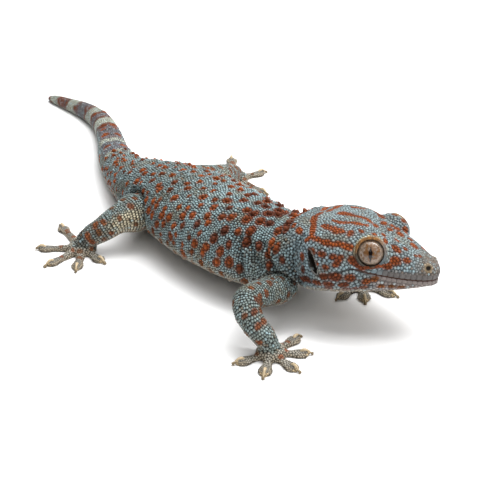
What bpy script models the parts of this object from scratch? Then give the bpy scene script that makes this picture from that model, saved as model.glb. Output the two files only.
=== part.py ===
"""A tokay gecko at life size, standing with its head turned to the left.

The trunk points along +X and the animal's left side is +Y. Lengths in the
tables are millimetres, and MM turns them into metres. The animal stands on
its toe pads and on its tail, with the middle of its box over the origin.
"""

import math
import random

import bmesh
import bpy
from mathutils import Matrix, Vector

MM = 0.001
GAP = 0.3
SINK = 1.0

AROUND = 28
BODY_ROUNDNESS = (2.2, 2.5)
HEAD_ROUNDNESS = (2.7, 2.8)
RING_STEP = 3.6
TAIL_RING_STEP = 4.8

# Stations along the spine from the tail's tip to the neck: the place on the
# floor, the half width, and the heights of the back, the flank and the belly.
SPINE = (
    (-151.6, 31.2, 1.0, 2.3, 1.2, 0.2),
    (-150.0, 31.3, 1.9, 3.7, 1.8, -0.2),
    (-140.2, 32.4, 2.7, 5.1, 2.5, -0.3),
    (-122.7, 33.4, 3.9, 7.3, 3.6, -0.4),
    (-106.1, 30.2, 4.7, 8.8, 4.3, -0.4),
    (-87.2, 21.4, 5.7, 10.6, 5.2, -0.5),
    (-72.0, 12.8, 6.7, 12.6, 6.1, -0.5),
    (-53.5, 5.4, 8.2, 15.4, 7.5, 0.2),
    (-42.0, 2.4, 10.4, 18.6, 8.8, 1.4),
    (-31.0, 1.0, 13.0, 22.0, 10.2, 2.4),
    (-18.0, 0.6, 16.4, 25.4, 11.2, 3.2),
    (0.0, -0.2, 19.0, 28.2, 11.8, 3.5),
    (16.0, -0.8, 19.4, 29.2, 12.2, 3.5),
    (32.0, -1.0, 17.9, 29.4, 13.2, 3.8),
    (43.0, 0.6, 15.9, 29.2, 14.0, 4.2),
    (52.0, 3.4, 14.6, 29.8, 15.6, 4.8),
)
TAIL_TIP_END = 38.0
TAIL_MIDDLE_END = 74.0
TAIL_BASE_END = 116.0
NECK_LENGTH_LEFT = 6.5

# Stations of the head from its back to its snout, in the head's own frame:
# the distance forward, the half width, the crown, the throat and the level
# where the head is widest.
HEAD = (
    (0.0, 14.9, 12.5, -13.2, 1.5),
    (3.8, 17.1, 14.0, -12.8, 1.8),
    (8.7, 17.9, 15.0, -11.5, 2.0),
    (13.7, 17.3, 15.1, -10.5, 2.0),
    (18.6, 15.3, 14.3, -9.3, 1.6),
    (23.4, 13.2, 12.7, -8.1, 1.0),
    (28.3, 11.1, 11.0, -6.8, 0.5),
    (33.2, 9.0, 9.2, -5.5, 0.2),
    (37.5, 6.9, 7.2, -4.1, 0.0),
    (40.5, 5.1, 5.8, -3.0, 0.1),
    (42.2, 3.4, 4.6, -2.0, 0.3),
    (43.1, 1.8, 3.3, -0.9, 0.8),
)
SNOUT_TIP = Vector((43.4, 0.0, 1.2))
HEAD_RING_STEP = 2.7
HEAD_PLACE = Vector((57.9, 5.3, 22.4))
HEAD_YAW = math.radians(25.5)
HEAD_PITCH = math.radians(-2.6)
HEAD_ROLL = math.radians(-7.8)
BROW_DIP = 1.1
BROW_DIP_WIDTH = 3.6
BROW_DIP_PLACE = 24.5
BROW_DIP_LENGTH = 7.0

EYE_PLACE = Vector((22.5, 10.7, 7.8))
EYE_RADIUS = 4.9
EYE_LIFT = math.radians(14.0)
EYE_FORWARD = math.radians(14.0)
BROW_RADII = (6.7, 6.4, 4.3)
LID_RADIUS = 4.65
LID_THICKNESS = 0.8
LID_OUT = 2.9

MOUTH_CORNER = 18.5
MOUTH_CORNER_RISE = 2.1
MOUTH_CURVE = 2.4
CHEEK_FOLD_END = 11.0
CHEEK_FOLD_SLOPE = 0.48
MOUTH_DEPTH = 0.7
MOUTH_HEIGHT = 0.8
LIP_RADIUS = 1.15
LIP_SIDES = 6
LIP_SUNK = 0.9
LIP_OFFSET = 1.3

EAR_PLACE = Vector((5.2, 16.9, 1.7))
EAR_RADII = (1.0, 2.4, 4.5)
EAR_TILT = math.radians(-30.0)
NOSTRIL_PLACE = Vector((40.2, 4.1, 4.3))
NOSTRIL_RIM = 1.2
NOSTRIL_RIM_THICKNESS = 0.45
NOSTRIL_HOLE = 0.65

# Each limb from its root to its palm: the places along its axis and the
# radius at each. KNEE and ANKLE number the stations of its two joints.
LIMB_AROUND = 14
LIMB_STEP = 2.1
LIMBS = {
    "fore_right": (
        (50.0, -1.0, 11.5, 6.8),
        (57.5, -10.0, 11.9, 5.7),
        (60.4, -21.0, 14.8, 4.7),
        (62.5, -28.7, 16.0, 4.7),
        (67.0, -30.7, 12.4, 4.4),
        (71.6, -28.9, 7.2, 3.9),
        (73.1, -27.3, 3.2, 3.2),
    ),
    "fore_left": (
        (48.0, 6.0, 13.0, 6.2),
        (46.0, 17.5, 12.4, 5.4),
        (46.2, 25.6, 13.6, 4.6),
        (49.4, 32.2, 13.6, 4.2),
        (55.4, 33.9, 10.2, 4.1),
        (59.8, 30.0, 6.2, 3.6),
        (60.4, 25.6, 3.2, 2.9),
    ),
    "hind_right": (
        (-22.0, 0.0, 11.6, 8.0),
        (-18.0, -9.0, 12.0, 8.0),
        (-15.6, -17.2, 12.6, 7.4),
        (-15.8, -24.4, 12.2, 5.5),
        (-17.4, -29.2, 9.5, 4.8),
        (-20.3, -33.0, 6.6, 4.2),
        (-23.0, -35.6, 3.4, 3.5),
    ),
    "hind_left": (
        (-28.0, 2.0, 12.0, 7.8),
        (-25.5, 12.0, 11.6, 7.0),
        (-22.8, 20.0, 11.4, 6.2),
        (-22.4, 27.0, 10.6, 5.2),
        (-24.8, 33.8, 8.6, 4.5),
        (-28.6, 40.0, 6.0, 3.9),
        (-31.5, 44.0, 3.2, 3.3),
    ),
}
KNEE = 3
ANKLE = 5

# Each foot's toes, first to fifth: the length from the palm's middle to the
# claw's tip and the heading on the floor in degrees.
FEET = {
    "fore_right": ((15.2, 97), (13.8, 52), (13.8, 2), (13.8, -51), (13.8, -105)),
    "fore_left": ((14.2, -83), (12.8, -37), (14.8, 17), (15.0, 66), (14.4, 118)),
    "hind_right": ((13.9, 2), (16.3, -43), (17.9, -85), (18.0, -132), (22.3, 170)),
    "hind_left": ((18.4, 6), (15.4, 82), (22.4, 145), (18.0, 194), (14.6, 243)),
}
PALM_RADIUS = {"fore": 5.0, "hind": 5.5}
PALM_HEIGHT = 2.6
PALM_LIFT = 1.6
TOE_AROUND = 6
TOE_WIDTH = 1.35
TOE_HEIGHT = 2.0
PAD_WIDTH = 2.55
PAD_HEIGHT = 1.45
PAD_LENGTH = 6.2
CLAW_OVERHANG = 1.6
CLAW_RADIUS = 0.55
CLAW_TIP_RADIUS = 0.2
CLAW_RISE = 0.9

# Low cones in staggered rows over the back: rows this far apart along the
# spine, and so many across each node from the left flank to the right.
TUBERCLE_SEED = 11
TUBERCLE_SIDES = 5
TUBERCLE_RADIUS = 1.3
TUBERCLE_HEIGHT = 0.95
TUBERCLE_SUNK = 0.6
TUBERCLE_LEAN = 0.2
TUBERCLE_ROW = 6.2
TUBERCLE_CLEARANCE = 2.2
TORSO_TUBERCLES = 9
TAIL_TUBERCLES = 5
MID_TAIL_TUBERCLES = 4
NECK_TUBERCLES = 7
NECK_ROWS = 2

SKIN_COLOUR = (0.20, 0.28, 0.33, 1.0)
LIMB_COLOUR = (0.24, 0.30, 0.30, 1.0)
TAIL_COLOUR = (0.26, 0.27, 0.26, 1.0)
FOOT_COLOUR = (0.36, 0.32, 0.24, 1.0)
EYE_COLOUR = (0.42, 0.33, 0.22, 1.0)

parts = bpy.data.collections.new("tokay_gecko")
cutters = bpy.data.collections.new("cutters")


def clear_scene():
    """Remove every object that the file opened with."""
    for existing in list(bpy.data.objects):
        bpy.data.objects.remove(existing, do_unlink=True)
    bpy.context.scene.collection.children.link(parts)
    bpy.context.scene.collection.children.link(cutters)


def make_material(name, colour, roughness):
    """A plain surface of one colour."""
    material = bpy.data.materials.new(name)
    material.use_nodes = True
    shader = material.node_tree.nodes["Principled BSDF"]
    shader.inputs["Base Color"].default_value = colour
    shader.inputs["Roughness"].default_value = roughness
    shader.inputs["Metallic"].default_value = 0.0
    return material


def finish_part(piece, colour, roughness=0.6):
    """Give a finished piece its material and its smooth shading."""
    piece.data.materials.clear()
    piece.data.materials.append(make_material(piece.name, colour, roughness))
    piece.data.shade_smooth()
    piece.data.set_sharp_from_angle(angle=math.radians(50.0))
    return piece


def add_object(name, form, collection):
    """Turn a bmesh in millimetres into a linked object in metres."""
    bmesh.ops.recalc_face_normals(form, faces=form.faces)
    bmesh.ops.scale(form, vec=(MM, MM, MM), verts=form.verts)
    mesh = bpy.data.meshes.new(name)
    form.to_mesh(mesh)
    form.free()
    piece = bpy.data.objects.new(name, mesh)
    collection.objects.link(piece)
    return piece


def blend(rows, place):
    """Read a smooth curve through rows of numbers at a fractional row number."""
    last = len(rows) - 1
    first = min(max(int(math.floor(place)), 0), last - 1)
    share = place - first
    before = rows[max(first - 1, 0)]
    start = rows[first]
    end = rows[first + 1]
    after = rows[min(first + 2, last)]
    result = []
    for a, b, c, d in zip(before, start, end, after):
        rise_in = (c - a) * 0.5 if first > 0 else c - b
        rise_out = (d - b) * 0.5 if first + 2 <= last else c - b
        result.append(
            (2 * share**3 - 3 * share**2 + 1) * b
            + (share**3 - 2 * share**2 + share) * rise_in
            + (3 * share**2 - 2 * share**3) * c
            + (share**3 - share**2) * rise_out
        )
    return result


def lengths_along(rows, axes):
    """Running length at each row, measured over the first few columns."""
    total = [0.0]
    for start, end in zip(rows, rows[1:]):
        total.append(total[-1] + math.dist(start[:axes], end[:axes]))
    return total


def place_at(lengths, distance):
    """The fractional row number that lies at a running length."""
    for index, (start, end) in enumerate(zip(lengths, lengths[1:])):
        if distance <= end:
            return index + (distance - start) / (end - start)
    return len(lengths) - 2 + (distance - lengths[-2]) / (lengths[-1] - lengths[-2])


def steps_between(start, end, step):
    """Even steps from start to end, about one step long."""
    count = max(1, round((end - start) / step))
    return [start + (end - start) * index / count for index in range(count + 1)]


def section(half_width, top, wide, bottom, roundness):
    """One closed outline as sideways and upward offsets, from the left side up."""
    above, below = roundness
    outline = []
    for index in range(AROUND):
        angle = 2 * math.pi * index / AROUND
        power = above if math.sin(angle) >= 0 else below
        reach = top - wide if math.sin(angle) >= 0 else wide - bottom
        across = math.copysign(abs(math.cos(angle)) ** (2 / power), math.cos(angle))
        up = math.copysign(abs(math.sin(angle)) ** (2 / power), math.sin(angle))
        outline.append((half_width * across, wide + reach * up))
    return outline


SPINE_LENGTHS = lengths_along(SPINE, 2)
SPINE_END = SPINE_LENGTHS[-1]


def spine_heading(distance):
    """The spine's heading over the floor at a running length."""
    ahead = blend(SPINE, place_at(SPINE_LENGTHS, distance + 0.5))
    behind = blend(SPINE, place_at(SPINE_LENGTHS, distance - 0.5))
    return Vector((ahead[0] - behind[0], ahead[1] - behind[1], 0.0)).normalized()


def body_ring(distance, swell=0.0):
    """The body's outline at a running length, swollen by a margin."""
    x, y, half_width, top, wide, bottom = blend(
        SPINE, place_at(SPINE_LENGTHS, distance)
    )
    heading = spine_heading(distance)
    left = Vector((-heading.y, heading.x, 0.0))
    ring = []
    outline = section(half_width + swell, top + swell, wide, bottom - swell, BODY_ROUNDNESS)
    for across, up in outline:
        point = Vector((x, y, 0.0)) + left * across
        point.z = up if swell else max(up, 0.0)
        ring.append(point)
    return ring


HEAD_LENGTHS = [row[0] for row in HEAD]
HEAD_MATRIX = (
    Matrix.Translation(HEAD_PLACE)
    @ Matrix.Rotation(HEAD_YAW, 4, "Z")
    @ Matrix.Rotation(-HEAD_PITCH, 4, "Y")
    @ Matrix.Rotation(HEAD_ROLL, 4, "X")
)


def head_ring(forward, swell=0.0):
    """The head's outline in its own frame, with the dip between the eyes."""
    reach, half_width, crown, throat, wide = blend(
        HEAD, place_at(HEAD_LENGTHS, max(forward, 0.0))
    )
    fade = math.exp(-(((forward - BROW_DIP_PLACE) / BROW_DIP_LENGTH) ** 2))
    ring = []
    outline = section(half_width + swell, crown + swell, wide, throat - swell, HEAD_ROUNDNESS)
    for across, up in outline:
        if up > wide:
            up -= BROW_DIP * fade * math.exp(-((across / BROW_DIP_WIDTH) ** 2))
        ring.append(Vector((forward, across, up)))
    return ring


def loft(name, rings, collection, tip=None):
    """Close a skin over a row of rings that have the same number of points."""
    form = bmesh.new()
    layers = [[form.verts.new(point) for point in ring] for ring in rings]
    count = len(rings[0])
    for lower, upper in zip(layers, layers[1:]):
        for index in range(count):
            after = (index + 1) % count
            form.faces.new((lower[index], lower[after], upper[after], upper[index]))
    form.faces.new(layers[0])
    if tip is None:
        form.faces.new(layers[-1])
    else:
        point = form.verts.new(tip)
        for index in range(count):
            form.faces.new((layers[-1][index], layers[-1][(index + 1) % count], point))
    return add_object(name, form, collection)


def tube_rings(rows, distances, lengths, around, swell=0.0):
    """Round rings square to a curve in space, turned as little as possible."""
    rings = []
    side = Vector((0.0, 0.0, 1.0))
    for distance in distances:
        x, y, z, radius = blend(rows, place_at(lengths, distance))
        ahead = blend(rows, place_at(lengths, distance + 0.2))
        behind = blend(rows, place_at(lengths, distance - 0.2))
        heading = (Vector(ahead[:3]) - Vector(behind[:3])).normalized()
        side = (side - heading * side.dot(heading)).normalized()
        other = heading.cross(side)
        ring = []
        for index in range(around):
            angle = 2 * math.pi * index / around
            spoke = side * math.cos(angle) + other * math.sin(angle)
            ring.append(Vector((x, y, z)) + spoke * (radius + swell))
        rings.append(ring)
    return rings


def combine(piece, operation, operands, solver="EXACT"):
    """Join or cut a piece by a list of closed pieces, which are then removed."""
    tools = bpy.data.collections.new("tools")
    for operand in operands:
        tools.objects.link(operand)
    modifier = piece.modifiers.new("combine", "BOOLEAN")
    modifier.operation = operation
    modifier.operand_type = "COLLECTION"
    modifier.collection = tools
    modifier.solver = solver
    depsgraph = bpy.context.evaluated_depsgraph_get()
    mesh = bpy.data.meshes.new_from_object(piece.evaluated_get(depsgraph))
    piece.modifiers.clear()
    piece.data = mesh
    for operand in operands:
        bpy.data.objects.remove(operand, do_unlink=True)
    bpy.data.collections.remove(tools)
    keep_largest(piece)
    return piece


def keep_largest(piece):
    """Keep a piece's largest closed surface and drop loose scraps."""
    form = bmesh.new()
    form.from_mesh(piece.data)
    bmesh.ops.remove_doubles(form, verts=form.verts, dist=0.000002)
    bmesh.ops.dissolve_degenerate(form, edges=form.edges, dist=0.000002)
    waiting = set(form.verts)
    surfaces = []
    while waiting:
        start = waiting.pop()
        surface = {start}
        edge_of_search = [start]
        while edge_of_search:
            vertex = edge_of_search.pop()
            for edge in vertex.link_edges:
                other = edge.other_vert(vertex)
                if other in waiting:
                    waiting.remove(other)
                    surface.add(other)
                    edge_of_search.append(other)
        surfaces.append(surface)
    largest = max(surfaces, key=len)
    scraps = [vertex for vertex in form.verts if vertex not in largest]
    bmesh.ops.delete(form, geom=scraps, context="VERTS")
    form.to_mesh(piece.data)
    form.free()


def ellipsoid(name, radii, matrix, segments, rings):
    """A ball stretched along its own axes and set in place."""
    form = bmesh.new()
    bmesh.ops.create_uvsphere(form, u_segments=segments, v_segments=rings, radius=1.0)
    bmesh.ops.scale(form, vec=radii, verts=form.verts)
    bmesh.ops.transform(form, matrix=matrix, verts=form.verts)
    return add_object(name, form, cutters)


def torus(name, ring_radius, thickness, matrix, around, sides):
    """A ring about its own Z axis, set in place."""
    form = bmesh.new()
    layers = []
    for index in range(around):
        angle = 2 * math.pi * index / around
        layer = []
        for corner in range(sides):
            turn = 2 * math.pi * corner / sides
            reach = ring_radius + thickness * math.cos(turn)
            point = Vector(
                (reach * math.cos(angle), reach * math.sin(angle), thickness * math.sin(turn))
            )
            layer.append(form.verts.new(matrix @ point))
        layers.append(layer)
    for index in range(around):
        lower = layers[index]
        upper = layers[(index + 1) % around]
        for corner in range(sides):
            after = (corner + 1) % sides
            form.faces.new((lower[corner], lower[after], upper[after], upper[corner]))
    return add_object(name, form, cutters)


def clear_of_limbs(point):
    """Whether a tubercle here keeps off the roots of all four limbs."""
    for rows in LIMBS.values():
        lengths = lengths_along(rows, 3)
        for distance in steps_between(0.0, lengths[KNEE], 1.0):
            x, y, z, radius = blend(rows, place_at(lengths, distance))
            if (Vector((x, y, z)) - point).length < radius + TUBERCLE_CLEARANCE:
                return False
    return True


def surface_place(rings, along, around):
    """A point on a loft at a fractional ring and corner, and the way out of it."""
    lower = min(int(along), len(rings) - 2)
    corner = int(around)
    near = rings[lower][corner].lerp(rings[lower][corner + 1], around - corner)
    far = rings[lower + 1][corner].lerp(rings[lower + 1][corner + 1], around - corner)
    edge = rings[lower][corner + 1] - rings[lower][corner]
    outward = edge.cross(far - near).normalized()
    return near.lerp(far, along - lower), outward, (far - near).normalized()


def tubercle(root, outward, size):
    """A low cone that starts under the skin."""
    form = bmesh.new()
    turn = outward.to_track_quat("Z", "Y").to_matrix().to_4x4()
    depth = TUBERCLE_HEIGHT * size + TUBERCLE_SUNK
    middle = Matrix.Translation(root + outward * (depth / 2 - TUBERCLE_SUNK))
    bmesh.ops.create_cone(
        form,
        cap_ends=True,
        segments=TUBERCLE_SIDES,
        radius1=TUBERCLE_RADIUS * size * depth / (depth - TUBERCLE_SUNK),
        radius2=0.0,
        depth=depth,
        matrix=middle @ turn,
    )
    return add_object("tubercle", form, cutters)


def raise_tubercles(piece, rings, rows, count, flank):
    """Fuse staggered rows of tubercles with the upper side of a lofted piece."""
    cones = []
    for row in range(rows):
        stagger = row % 2
        for place in range(count - stagger):
            share = (place + 0.5 + 0.5 * stagger) / count
            along = (row + 0.5) / rows * (len(rings) - 1) + chance.uniform(-0.15, 0.15)
            around = AROUND * (flank + (0.5 - 2 * flank) * share) + chance.uniform(-0.25, 0.25)
            root, outward, forward = surface_place(rings, along, around)
            size = chance.uniform(0.8, 1.1)
            if clear_of_limbs(root):
                lean = (outward - forward * TUBERCLE_LEAN).normalized()
                cones.append(tubercle(root, lean, size))
    return combine(piece, "UNION", cones)


def build_tail_tip():
    """The last length of the tail, rounded off at its end."""
    rings = [body_ring(distance) for distance in steps_between(0.0, TAIL_TIP_END, TAIL_RING_STEP)]
    rings.reverse()
    end = blend(SPINE, 0.0)
    point = Vector((end[0] - 0.5, end[1], 1.2))
    return finish_part(loft("tail_tip", rings, parts, point), TAIL_COLOUR)


def build_warty_node(name, start, end, step, count, flank, colour):
    """One length of the tail or trunk with tubercles over its back."""
    rings = [body_ring(distance) for distance in steps_between(start, end, step)]
    piece = loft(name, rings, parts)
    raise_tubercles(piece, rings, round((end - start) / TUBERCLE_ROW), count, flank)
    return finish_part(piece, colour)


def neck_rings(start, swell=0.0):
    """Rings that turn from the trunk's front outline into the head's back one."""
    rear = body_ring(start, swell)
    heading = spine_heading(start)
    front = [HEAD_MATRIX @ point for point in head_ring(-GAP, swell)]
    outward = HEAD_MATRIX.to_3x3() @ Vector((1.0, 0.0, 0.0))
    middle_rear = sum(rear, Vector()) / AROUND
    middle_front = sum(front, Vector()) / AROUND
    span = (middle_front - middle_rear).length
    rings = []
    count = max(3, round(span / HEAD_RING_STEP))
    for step in range(count + 1):
        share = step / count
        ring = []
        for a, b in zip(rear, front):
            point = (
                a * (2 * share**3 - 3 * share**2 + 1)
                + heading * span * (share**3 - 2 * share**2 + share)
                + b * (3 * share**2 - 2 * share**3)
                + outward * span * (share**3 - share**2)
            )
            ring.append(point)
        rings.append(ring)
    return rings


def eye_matrix(side):
    """The eye's place and axis in the head's frame; side is 1 left, -1 right."""
    axis = Vector(
        (math.sin(EYE_FORWARD), side * math.cos(EYE_FORWARD), math.sin(EYE_LIFT))
    ).normalized()
    turn = axis.to_track_quat("Z", "Y").to_matrix().to_4x4()
    place = Vector((EYE_PLACE.x, side * EYE_PLACE.y, EYE_PLACE.z))
    return Matrix.Translation(place) @ turn


def mouth_level(forward):
    """Height of the mouth's line, which rises to its corner and falls behind it."""
    share = (SNOUT_TIP.x - forward) / (SNOUT_TIP.x - MOUTH_CORNER)
    if share > 1.0:
        return MOUTH_CORNER_RISE - CHEEK_FOLD_SLOPE * (MOUTH_CORNER - forward)
    return MOUTH_CORNER_RISE * max(share, 0.0) ** MOUTH_CURVE


def mouth_outline(rise, start):
    """Points on the head's surface along the mouth, from right side to left."""
    right = []
    for forward in steps_between(start, HEAD[-2][0], 2.4):
        ring = head_ring(forward)
        level = mouth_level(forward) + rise
        right_side = ring[AROUND // 4 : 3 * AROUND // 4 + 1]
        for above, below in zip(right_side, right_side[1:]):
            if above.z >= level >= below.z:
                right.append(above.lerp(below, (above.z - level) / (above.z - below.z)))
                break
    front = Vector((SNOUT_TIP.x - 0.05, 0.0, mouth_level(SNOUT_TIP.x) + rise))
    left = [Vector((point.x, -point.y, point.z)) for point in reversed(right)]
    return right + [front] + left


def outward_along(path):
    """For each point of a level path, the direction away from the head."""
    directions = []
    for index, point in enumerate(path):
        before = path[max(index - 1, 0)]
        after = path[min(index + 1, len(path) - 1)]
        along = after - before
        directions.append(Vector((along.y, -along.x, 0.0)).normalized())
    return directions


def mouth_groove():
    """A wedge that cuts in the line of the mouth and the fold behind it."""
    path = mouth_outline(0.0, CHEEK_FOLD_END)
    up = Vector((0.0, 0.0, MOUTH_HEIGHT))
    rings = []
    for index, (point, outward) in enumerate(zip(path, outward_along(path))):
        from_end = min(index, len(path) - 1 - index)
        depth = MOUTH_DEPTH * min(1.0, 0.2 + 0.3 * from_end)
        outer = point + outward * 1.2
        rings.append([outer + up * 1.2, point - outward * depth, outer - up * 1.2])
    return loft("mouth_groove", rings, cutters)


def lip(name, rise):
    """A bead along one lip, half sunk in the head."""
    path = mouth_outline(rise, MOUTH_CORNER - 1.0)
    rings = []
    for index, (point, outward) in enumerate(zip(path, outward_along(path))):
        from_end = min(index, len(path) - 1 - index)
        radius = LIP_RADIUS * min(1.0, 0.5 + 0.25 * from_end)
        ring = []
        for corner in range(LIP_SIDES):
            angle = 2 * math.pi * corner / LIP_SIDES
            spoke = outward * math.cos(angle) + Vector((0, 0, 1)) * math.sin(angle)
            ring.append(point - outward * LIP_SUNK + spoke * radius)
        rings.append(ring)
    return loft(name, rings, cutters)


def build_head():
    """Skull, brows, lids, lips and nostril rims in one, with their openings."""
    rings = [head_ring(forward) for forward in steps_between(0.0, HEAD[-3][0], HEAD_RING_STEP)]
    rings += [head_ring(row[0]) for row in HEAD[-2:]]
    head = loft("head", rings, parts, SNOUT_TIP)
    joined = [lip("upper_lip", LIP_OFFSET), lip("lower_lip", -LIP_OFFSET)]
    cut = [mouth_groove()]
    for side in (1, -1):
        eye = eye_matrix(side)
        joined.append(ellipsoid("brow", BROW_RADII, eye, 16, 8))
        lid = eye @ Matrix.Translation((0, 0, LID_OUT))
        joined.append(torus("lid", LID_RADIUS, LID_THICKNESS, lid, 20, 6))
        socket = EYE_RADIUS + GAP
        cut.append(ellipsoid("socket", (socket, socket, socket), eye, 18, 10))
        nostril = Matrix.Translation((NOSTRIL_PLACE.x, side * NOSTRIL_PLACE.y, NOSTRIL_PLACE.z))
        tilt = Vector((0.75, side * 1.0, 0.55)).to_track_quat("Z", "Y").to_matrix().to_4x4()
        joined.append(torus("rim", NOSTRIL_RIM, NOSTRIL_RIM_THICKNESS, nostril @ tilt, 12, 6))
        hole = (NOSTRIL_HOLE, NOSTRIL_HOLE, 1.6)
        cut.append(ellipsoid("hole", hole, nostril @ tilt, 8, 8))
        ear = Matrix.Translation((EAR_PLACE.x, side * EAR_PLACE.y, EAR_PLACE.z))
        cut.append(ellipsoid("ear", EAR_RADII, ear @ Matrix.Rotation(EAR_TILT, 4, "Y"), 12, 12))
    combine(head, "UNION", joined)
    combine(head, "DIFFERENCE", cut)
    head.matrix_world = scaled(HEAD_MATRIX)
    return finish_part(head, SKIN_COLOUR)


def scaled(matrix):
    """The same placement with its distance in metres."""
    placed = matrix.copy()
    placed.translation *= MM
    return placed


def build_eye(name, side):
    """One eyeball in its socket."""
    form = bmesh.new()
    bmesh.ops.create_uvsphere(form, u_segments=18, v_segments=10, radius=EYE_RADIUS)
    eye = add_object(name, form, parts)
    eye.matrix_world = scaled(HEAD_MATRIX @ eye_matrix(side))
    return finish_part(eye, EYE_COLOUR, 0.1)


def body_cutter():
    """The whole trunk and neck with a margin, which trims the limbs' roots."""
    start = TAIL_MIDDLE_END
    end = SPINE_END - NECK_LENGTH_LEFT
    rings = [body_ring(distance, GAP) for distance in steps_between(start, end, RING_STEP)]
    rings += neck_rings(end + GAP, GAP)[1:]
    return loft("body_cutter", rings, cutters)


def limb_tube(limb, name, start, end, collection, swell=0.0):
    """One length of a limb between two of its stations, short of both joints."""
    rows = LIMBS[limb]
    lengths = lengths_along(rows, 3)
    first = lengths[start] + (GAP / 2 if start else 0.0)
    last = lengths[end] - (GAP / 2 if end < len(rows) - 1 else 0.0)
    distances = steps_between(first, last, LIMB_STEP)
    return loft(name, tube_rings(rows, distances, lengths, LIMB_AROUND, swell), collection)


def floor_outline(half_width, height):
    """A low arch that stands on the floor and sinks a little below it."""
    outline = []
    for index in range(TOE_AROUND):
        angle = math.pi * index / (TOE_AROUND - 1)
        outline.append((half_width * math.cos(angle), height * math.sin(angle) ** 0.8))
    return outline + [(-half_width, -SINK), (half_width, -SINK)]


def toe(name, length, heading):
    """A narrow toe that widens into a broad flat pad."""
    pad_end = length - CLAW_OVERHANG
    pad_middle = pad_end - PAD_LENGTH * 0.42
    pad_start = pad_end - PAD_LENGTH
    stations = (
        (0.5, TOE_WIDTH * 1.5, TOE_HEIGHT * 1.35),
        (max(pad_start, 1.5) * 0.6 + 0.6, TOE_WIDTH * 1.1, TOE_HEIGHT * 1.1),
        (max(pad_start, 2.4), TOE_WIDTH, TOE_HEIGHT * 0.85),
        (pad_start + PAD_LENGTH * 0.3, PAD_WIDTH * 0.82, PAD_HEIGHT * 1.05),
        (pad_middle, PAD_WIDTH, PAD_HEIGHT),
        (pad_end - PAD_LENGTH * 0.2, PAD_WIDTH * 0.9, PAD_HEIGHT * 0.85),
        (pad_end - PAD_LENGTH * 0.06, PAD_WIDTH * 0.55, PAD_HEIGHT * 0.7),
        (pad_end, PAD_WIDTH * 0.2, PAD_HEIGHT * 0.5),
    )
    forward = Vector((math.cos(heading), math.sin(heading), 0.0))
    left = Vector((-forward.y, forward.x, 0.0))
    rings = []
    for along, half_width, height in stations:
        rings.append(
            [
                forward * along + left * across + Vector((0.0, 0.0, up))
                for across, up in floor_outline(half_width, height)
            ]
        )
    return loft(name, rings, cutters)


def claw(name, length, heading):
    """A claw that arches out of the pad's top and hooks down at its tip."""
    root = length - CLAW_OVERHANG - PAD_LENGTH * 0.45
    forward = Vector((math.cos(heading), math.sin(heading), 0.0))
    rows = []
    for share in (0.0, 0.35, 0.65, 0.88, 1.0):
        along = root + (length - root) * share
        rise = PAD_HEIGHT * 0.75 * (1 - share**2) + CLAW_RISE * math.sin(math.pi * share**0.8)
        radius = CLAW_RADIUS + (CLAW_TIP_RADIUS - CLAW_RADIUS) * share**1.5
        rows.append((forward.x * along, forward.y * along, rise + CLAW_TIP_RADIUS, radius))
    lengths = lengths_along(rows, 3)
    distances = steps_between(0.0, lengths[-1], 1.4)
    return loft(name, tube_rings(rows, distances, lengths, 5), cutters)


def floor_block():
    """Everything below the floor, which trims the soles flat."""
    form = bmesh.new()
    bmesh.ops.create_cube(form, size=1.0)
    bmesh.ops.scale(form, vec=(400.0, 200.0, 10.0), verts=form.verts)
    bmesh.ops.translate(form, vec=(0.0, 0.0, -5.0), verts=form.verts)
    return add_object("floor_block", form, cutters)


def build_foot(limb, name):
    """Wrist, palm, five toes and their claws joined on flat soles."""
    rows = LIMBS[limb]
    foot = limb_tube(limb, name, ANKLE, len(rows) - 1, parts)
    palm = Vector((rows[-1][0], rows[-1][1], 0.0))
    radius = PALM_RADIUS[limb.split("_")[0]]
    palm_radii = (radius, radius, PALM_HEIGHT)
    lift = Vector((0.0, 0.0, PALM_LIFT))
    joined = [ellipsoid("palm", palm_radii, Matrix.Translation(palm + lift), 12, 6)]
    for length, degrees in FEET[limb]:
        heading = math.radians(degrees)
        for piece in (toe("toe", length, heading), claw("claw", length, heading)):
            piece.data.transform(Matrix.Translation(palm * MM))
            joined.append(piece)
    combine(foot, "UNION", joined)
    shank = limb_tube(limb, "shank_cutter", KNEE, ANKLE, cutters, GAP)
    combine(foot, "DIFFERENCE", [floor_block(), shank])
    return finish_part(foot, FOOT_COLOUR)


def build_limb(limb, upper_name, lower_name, foot_name):
    """One leg in its three nodes, each cut clear of the one above it."""
    upper = limb_tube(limb, upper_name, 0, KNEE, parts)
    combine(upper, "DIFFERENCE", [body_cutter()])
    finish_part(upper, LIMB_COLOUR)
    lower = limb_tube(limb, lower_name, KNEE, ANKLE, parts)
    cutter = limb_tube(limb, "upper_cutter", 0, KNEE, cutters, GAP)
    combine(lower, "DIFFERENCE", [cutter], "MANIFOLD")
    finish_part(lower, LIMB_COLOUR)
    build_foot(limb, foot_name)


def build_trunk():
    """The tail in three lengths, the torso and the neck."""
    middle = TAIL_MIDDLE_END
    base = TAIL_BASE_END
    shoulder = SPINE_END - NECK_LENGTH_LEFT
    build_tail_tip()
    build_warty_node(
        "tail_middle", TAIL_TIP_END + GAP, middle, TAIL_RING_STEP, MID_TAIL_TUBERCLES, 0.1, TAIL_COLOUR
    )
    build_warty_node("tail_base", middle + GAP, base, RING_STEP, TAIL_TUBERCLES, 0.06, SKIN_COLOUR)
    build_warty_node("torso", base + GAP, shoulder, RING_STEP, TORSO_TUBERCLES, 0.02, SKIN_COLOUR)
    rings = neck_rings(shoulder + GAP)
    neck = loft("neck", rings, parts)
    raise_tubercles(neck, rings, NECK_ROWS, NECK_TUBERCLES, 0.03)
    finish_part(neck, SKIN_COLOUR)


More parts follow.
